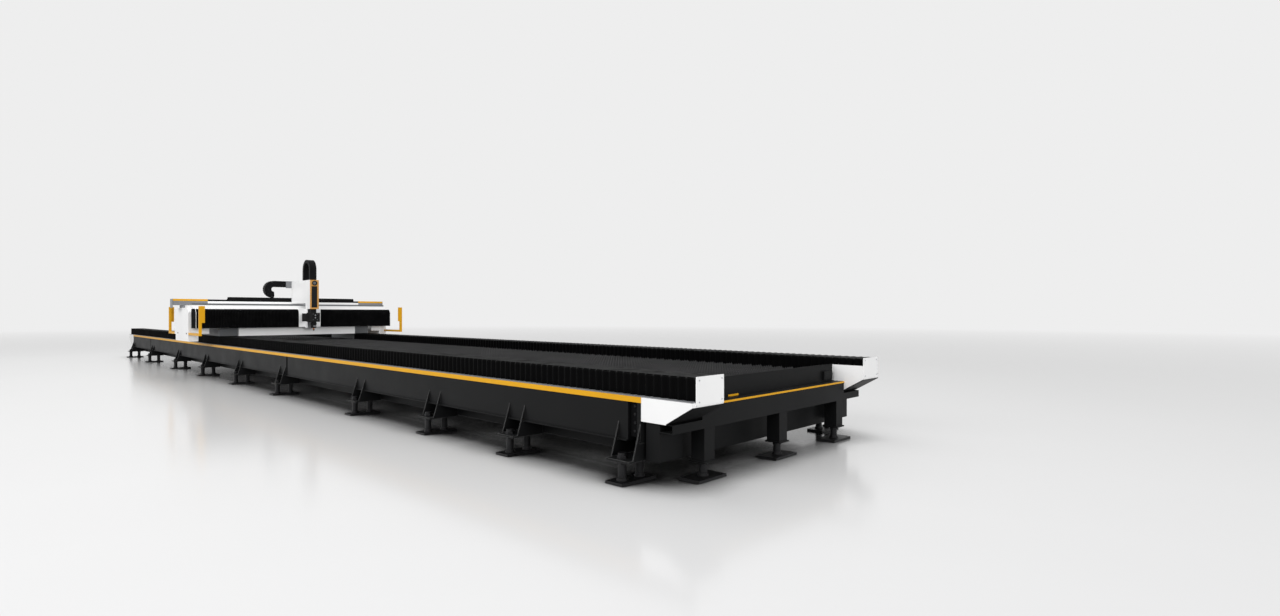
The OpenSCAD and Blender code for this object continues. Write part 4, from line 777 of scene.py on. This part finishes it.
# Leg housings: two dark bolts low on the outer face, and small screws along the top edge
LEG_BOLT_BACK = 0.35
LEG_BOLT_FRONT = 0.16
LEG_BOLT_UP = 0.176
LEG_SCREWS = 6
LEG_SCREW_BACK = 0.04
LEG_SCREW_FRONT = 0.3
leg_bolts = Builder()
leg_screws = Builder()
for side, way in SIDES:
    leg_low, leg_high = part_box(side + "_leg")
    y = leg_low.y if way < 0 else leg_high.y
    for x in (leg_low.x + LEG_BOLT_BACK, leg_high.x - LEG_BOLT_FRONT):
        screw(leg_bolts, (x, y, leg_low.z + LEG_BOLT_UP), (0, way, 0), LEG_BOLT)
    for x in spread(leg_low.x + LEG_SCREW_BACK, leg_high.x - LEG_SCREW_FRONT, LEG_SCREWS):
        screw(leg_screws, (x, y, leg_high.z - INSET), (0, way, 0), SCREW)
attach(leg_bolts.make("leg_bolts", "joint_black"), "gantry")
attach(leg_screws.make("leg_screws", "bright_steel"), "gantry")

# End plates of the bellows: a screw in each corner of the outer faces
plate_screws = Builder()
plates_low, plates_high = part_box("end_plates")
for side in ("near", "far"):
    cloth_low, cloth_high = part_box(side + "_front_bellows")
    for x, way in ((plates_high.x, 1), (plates_low.x, -1)):
        for y in (cloth_low.y + INSET, cloth_high.y - INSET):
            for z in (plates_low.z + INSET, plates_high.z - INSET):
                screw(plate_screws, (x, y, z), (way, 0, 0), SCREW)
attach(plate_screws.make("end_plate_screws", "bright_steel"), "bed")

# Joints of the side beams: columns of hex bolts on the recessed blocks
JOINT_BOLTS = 4
JOINT_INSET = 0.05
joint_bolts = Builder()
block_low, block_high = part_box("joint_blocks")
for x0, x1 in spans("joint_blocks"):
    for way, y in ((-1, block_low.y), (1, block_high.y)):
        for z in spread(block_low.z + JOINT_INSET, block_high.z - JOINT_INSET, JOINT_BOLTS):
            screw(joint_bolts, ((x0 + x1) / 2, y, z), (0, way, 0), JOINT_BOLT, HEX_SIDES)
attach(joint_bolts.make("joint_bolts", "foot_black"), "bed")

# Gantry motors: cooling fins round the square cases
FINS = 9
FIN_PROUD = 0.004
FIN_THICK = 0.005
FIN_LOWEST = 0.02
FIN_HIGHEST = 0.05
fins = Builder()
motor_low, motor_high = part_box("motors")
motor_width = motor_high.x - motor_low.x
for y0 in (motor_low.y, motor_high.y - motor_width):
    for z in spread(motor_low.z + FIN_LOWEST, motor_high.z - FIN_HIGHEST, FINS):
        fins.block((motor_low.x - FIN_PROUD, y0 - FIN_PROUD, z),
                   (motor_high.x + FIN_PROUD, y0 + motor_width + FIN_PROUD, z + FIN_THICK))
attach(fins.make("motor_fins", "motor_black"), "gantry")

# Carriage: screws on both sides of the housing and down the front frame
HOUSE_ROW = 6
HOUSE_ROW_FRONT = 0.04
HOUSE_COLUMN = 3
HOUSE_COLUMN_LOW = 0.5
HOUSE_COLUMN_HIGH = 0.2
FRAME_COLUMN = 5
FRAME_INSET = 0.017
house_screws = Builder()
for way, y in ((-1, house_low.y), (1, house_high.y)):
    for x in spread(house_low.x + INSET, house_high.x - HOUSE_ROW_FRONT, HOUSE_ROW):
        screw(house_screws, (x, y, house_high.z - INSET), (0, way, 0), SCREW)
    for z in spread(house_high.z - HOUSE_COLUMN_LOW, house_high.z - HOUSE_COLUMN_HIGH, HOUSE_COLUMN):
        screw(house_screws, (house_low.x + INSET, y, z), (0, way, 0), SCREW)
frame_low, frame_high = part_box("front_frame")
for y in (frame_low.y + FRAME_INSET, frame_high.y - FRAME_INSET):
    for z in spread(frame_low.z + INSET, frame_high.z - INSET, FRAME_COLUMN):
        screw(house_screws, (frame_high.x, y, z), (1, 0, 0), SMALL_SCREW)
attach(house_screws.make("housing_screws", "bright_steel"), "carriage")

# Carriage: a lens in the round port
LENS_RADIUS = 0.036
LENS_THICK = 0.005
LENS_BACK = 0.007
port_low, port_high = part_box("round_port")
port_lens = Builder()
port_place = (port_high.x - LENS_BACK, (port_low.y + port_high.y) / 2, (port_low.z + port_high.z) / 2)
boss(port_lens, port_place, (1, 0, 0), LENS_RADIUS, LENS_THICK, LENS_SIDES)
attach(port_lens.make("port_lens", "slider_grey"), "carriage")

# Laser head: knobs and screws on its front, at heights over the nozzle
KNOB_UP = (0.25, 0.31)
HEAD_SCREW_UP = (0.2, 0.34)
HEAD_SCREW_OUT = 0.05
head_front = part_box("laser_head")[1].x
nozzle_low, nozzle_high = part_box("nozzle")
axis_x = (nozzle_low.x + nozzle_high.x) / 2
axis_y = (nozzle_low.y + nozzle_high.y) / 2
fittings = Builder()
for up in KNOB_UP:
    screw(fittings, (head_front, axis_y, nozzle_high.z + up), (1, 0, 0), HEAD_KNOB)
for up in HEAD_SCREW_UP:
    for y in (axis_y - HEAD_SCREW_OUT, axis_y + HEAD_SCREW_OUT):
        screw(fittings, (head_front, y, nozzle_high.z + up), (1, 0, 0), SMALL_SCREW)
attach(fittings.make("head_fittings", "bright_steel"), "head")

# Laser head: a drawer for the window on the barrel, with a round grip
DRAWER_BACK = 0.05
DRAWER_FRONT = 0.075
DRAWER_HALF = 0.03
DRAWER_UP = 0.035
DRAWER_HEIGHT = 0.026
GRIP_RADIUS = 0.009
GRIP_LENGTH = 0.008
drawer = Builder()
drawer_z = nozzle_high.z + DRAWER_UP
drawer.block((axis_x + DRAWER_BACK, axis_y - DRAWER_HALF, drawer_z),
             (axis_x + DRAWER_FRONT, axis_y + DRAWER_HALF, drawer_z + DRAWER_HEIGHT))
grip_place = (axis_x + DRAWER_FRONT, axis_y, drawer_z + DRAWER_HEIGHT / 2)
boss(drawer, grip_place, (1, 0, 0), GRIP_RADIUS, GRIP_LENGTH)
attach(drawer.make("window_drawer", "slide_alu"), "head")


# Floor, background and light

FLOOR_SIZE = 300
FLOOR_ROUGH = 0.16
FLOOR_SHINE = 0.3
FLOOR_PATCHES = (0.15, 3.0)
FLOOR_TONES = ((0.78, 0.78, 0.785), (0.81, 0.81, 0.81))
FLOOR_BOUNCE = tone(0.4)
# Painted shade under the machine: its colour, and the reach and levels of the occlusion that lays it
FLOOR_PAINTED_SHADE = tone(0.012)
SHADE_REACH = 0.7
SHADE_DARK = 0.42
SHADE_CLEAR = 0.86
SHADE_SAMPLES = 16
FADE_START = 16.0
FADE_END = 60.0
WORLD_LIGHT = 0.4
WORLD_SEEN = 0.855

# Name, place, aim, size and power of each lamp
LAMPS = (
    ("over", (2, 0, 10), (2, 0, 0), (36, 10), 980),
    ("key", (8, -22, 10), (4, 0, 0.6), (30, 12), 4500),
    ("front", (60, -4, 9), (0, 0, 1.0), (30, 12), 11000),
)


def seen_rays(tree):
    """1 for rays that show a surface to the camera, straight, mirrored or through glass."""
    rays = add(tree, "ShaderNodeLightPath").outputs
    shown = rays["Is Camera Ray"]
    for kind in ("Is Glossy Ray", "Is Transmission Ray"):
        shown = add(tree, "ShaderNodeMath", {0: shown, 1: rays[kind]}, operation="MAXIMUM").outputs[0]
    return shown


def floor_material():
    """Pale glossy floor: painted shade close under the machine, and one with the background far away."""
    material, tree, shader, place = new_material("floor_gloss", FLOOR_ROUGH)
    shader.inputs["Specular IOR Level"].default_value = FLOOR_SHINE
    seen = mix(tree, noise(tree, place, *FLOOR_PATCHES), *FLOOR_TONES)
    # Painted shade: the floor's colour goes dark where the machine is close overhead
    sky = add(tree, "ShaderNodeAmbientOcclusion", {"Distance": SHADE_REACH}, samples=SHADE_SAMPLES)
    seen = mix(tree, ramp(tree, sky.outputs["AO"], SHADE_DARK, SHADE_CLEAR), FLOOR_PAINTED_SHADE, seen)
    feed(tree, shader.inputs["Base Color"], mix(tree, seen_rays(tree), FLOOR_BOUNCE, seen))
    away = add(tree, "ShaderNodeVectorMath", {0: place}, operation="LENGTH").outputs["Value"]
    glow = add(tree, "ShaderNodeEmission", {"Strength": WORLD_SEEN})
    both = add(tree, "ShaderNodeMixShader", {0: ramp(tree, away, FADE_START, FADE_END),
                                             1: shader.outputs[0], 2: glow.outputs[0]})
    feed(tree, tree.nodes["Material Output"].inputs["Surface"], both.outputs[0])
    return material


floor_corners = [(-FLOOR_SIZE, -FLOOR_SIZE, 0), (FLOOR_SIZE, -FLOOR_SIZE, 0),
                 (FLOOR_SIZE, FLOOR_SIZE, 0), (-FLOOR_SIZE, FLOOR_SIZE, 0)]
floor = mesh_object("floor", floor_corners, [(0, 1, 2, 3)], floor_material())

world = bpy.data.worlds.new("world")
scene.world = world
world.use_nodes = True
world_tree = world.node_tree
background = world_tree.nodes["Background"]
background.inputs["Color"].default_value = (1, 1, 1, 1)
feed(world_tree, background.inputs["Strength"],
     ramp(world_tree, seen_rays(world_tree), 0.0, 1.0, WORLD_LIGHT, WORLD_SEEN))

for name, place, aim, size, power in LAMPS:
    data = bpy.data.lights.new(name, "AREA")
    data.shape = "RECTANGLE"
    data.size = size[0]
    data.size_y = size[1]
    data.energy = power
    lamp = bpy.data.objects.new(name, data)
    lamp.visible_glossy = False
    lamp.location = place
    lamp.rotation_euler = (Vector(aim) - Vector(place)).to_track_quat("-Z", "Y").to_euler()
    scene.collection.objects.link(lamp)

scene.view_settings.view_transform = "Standard"
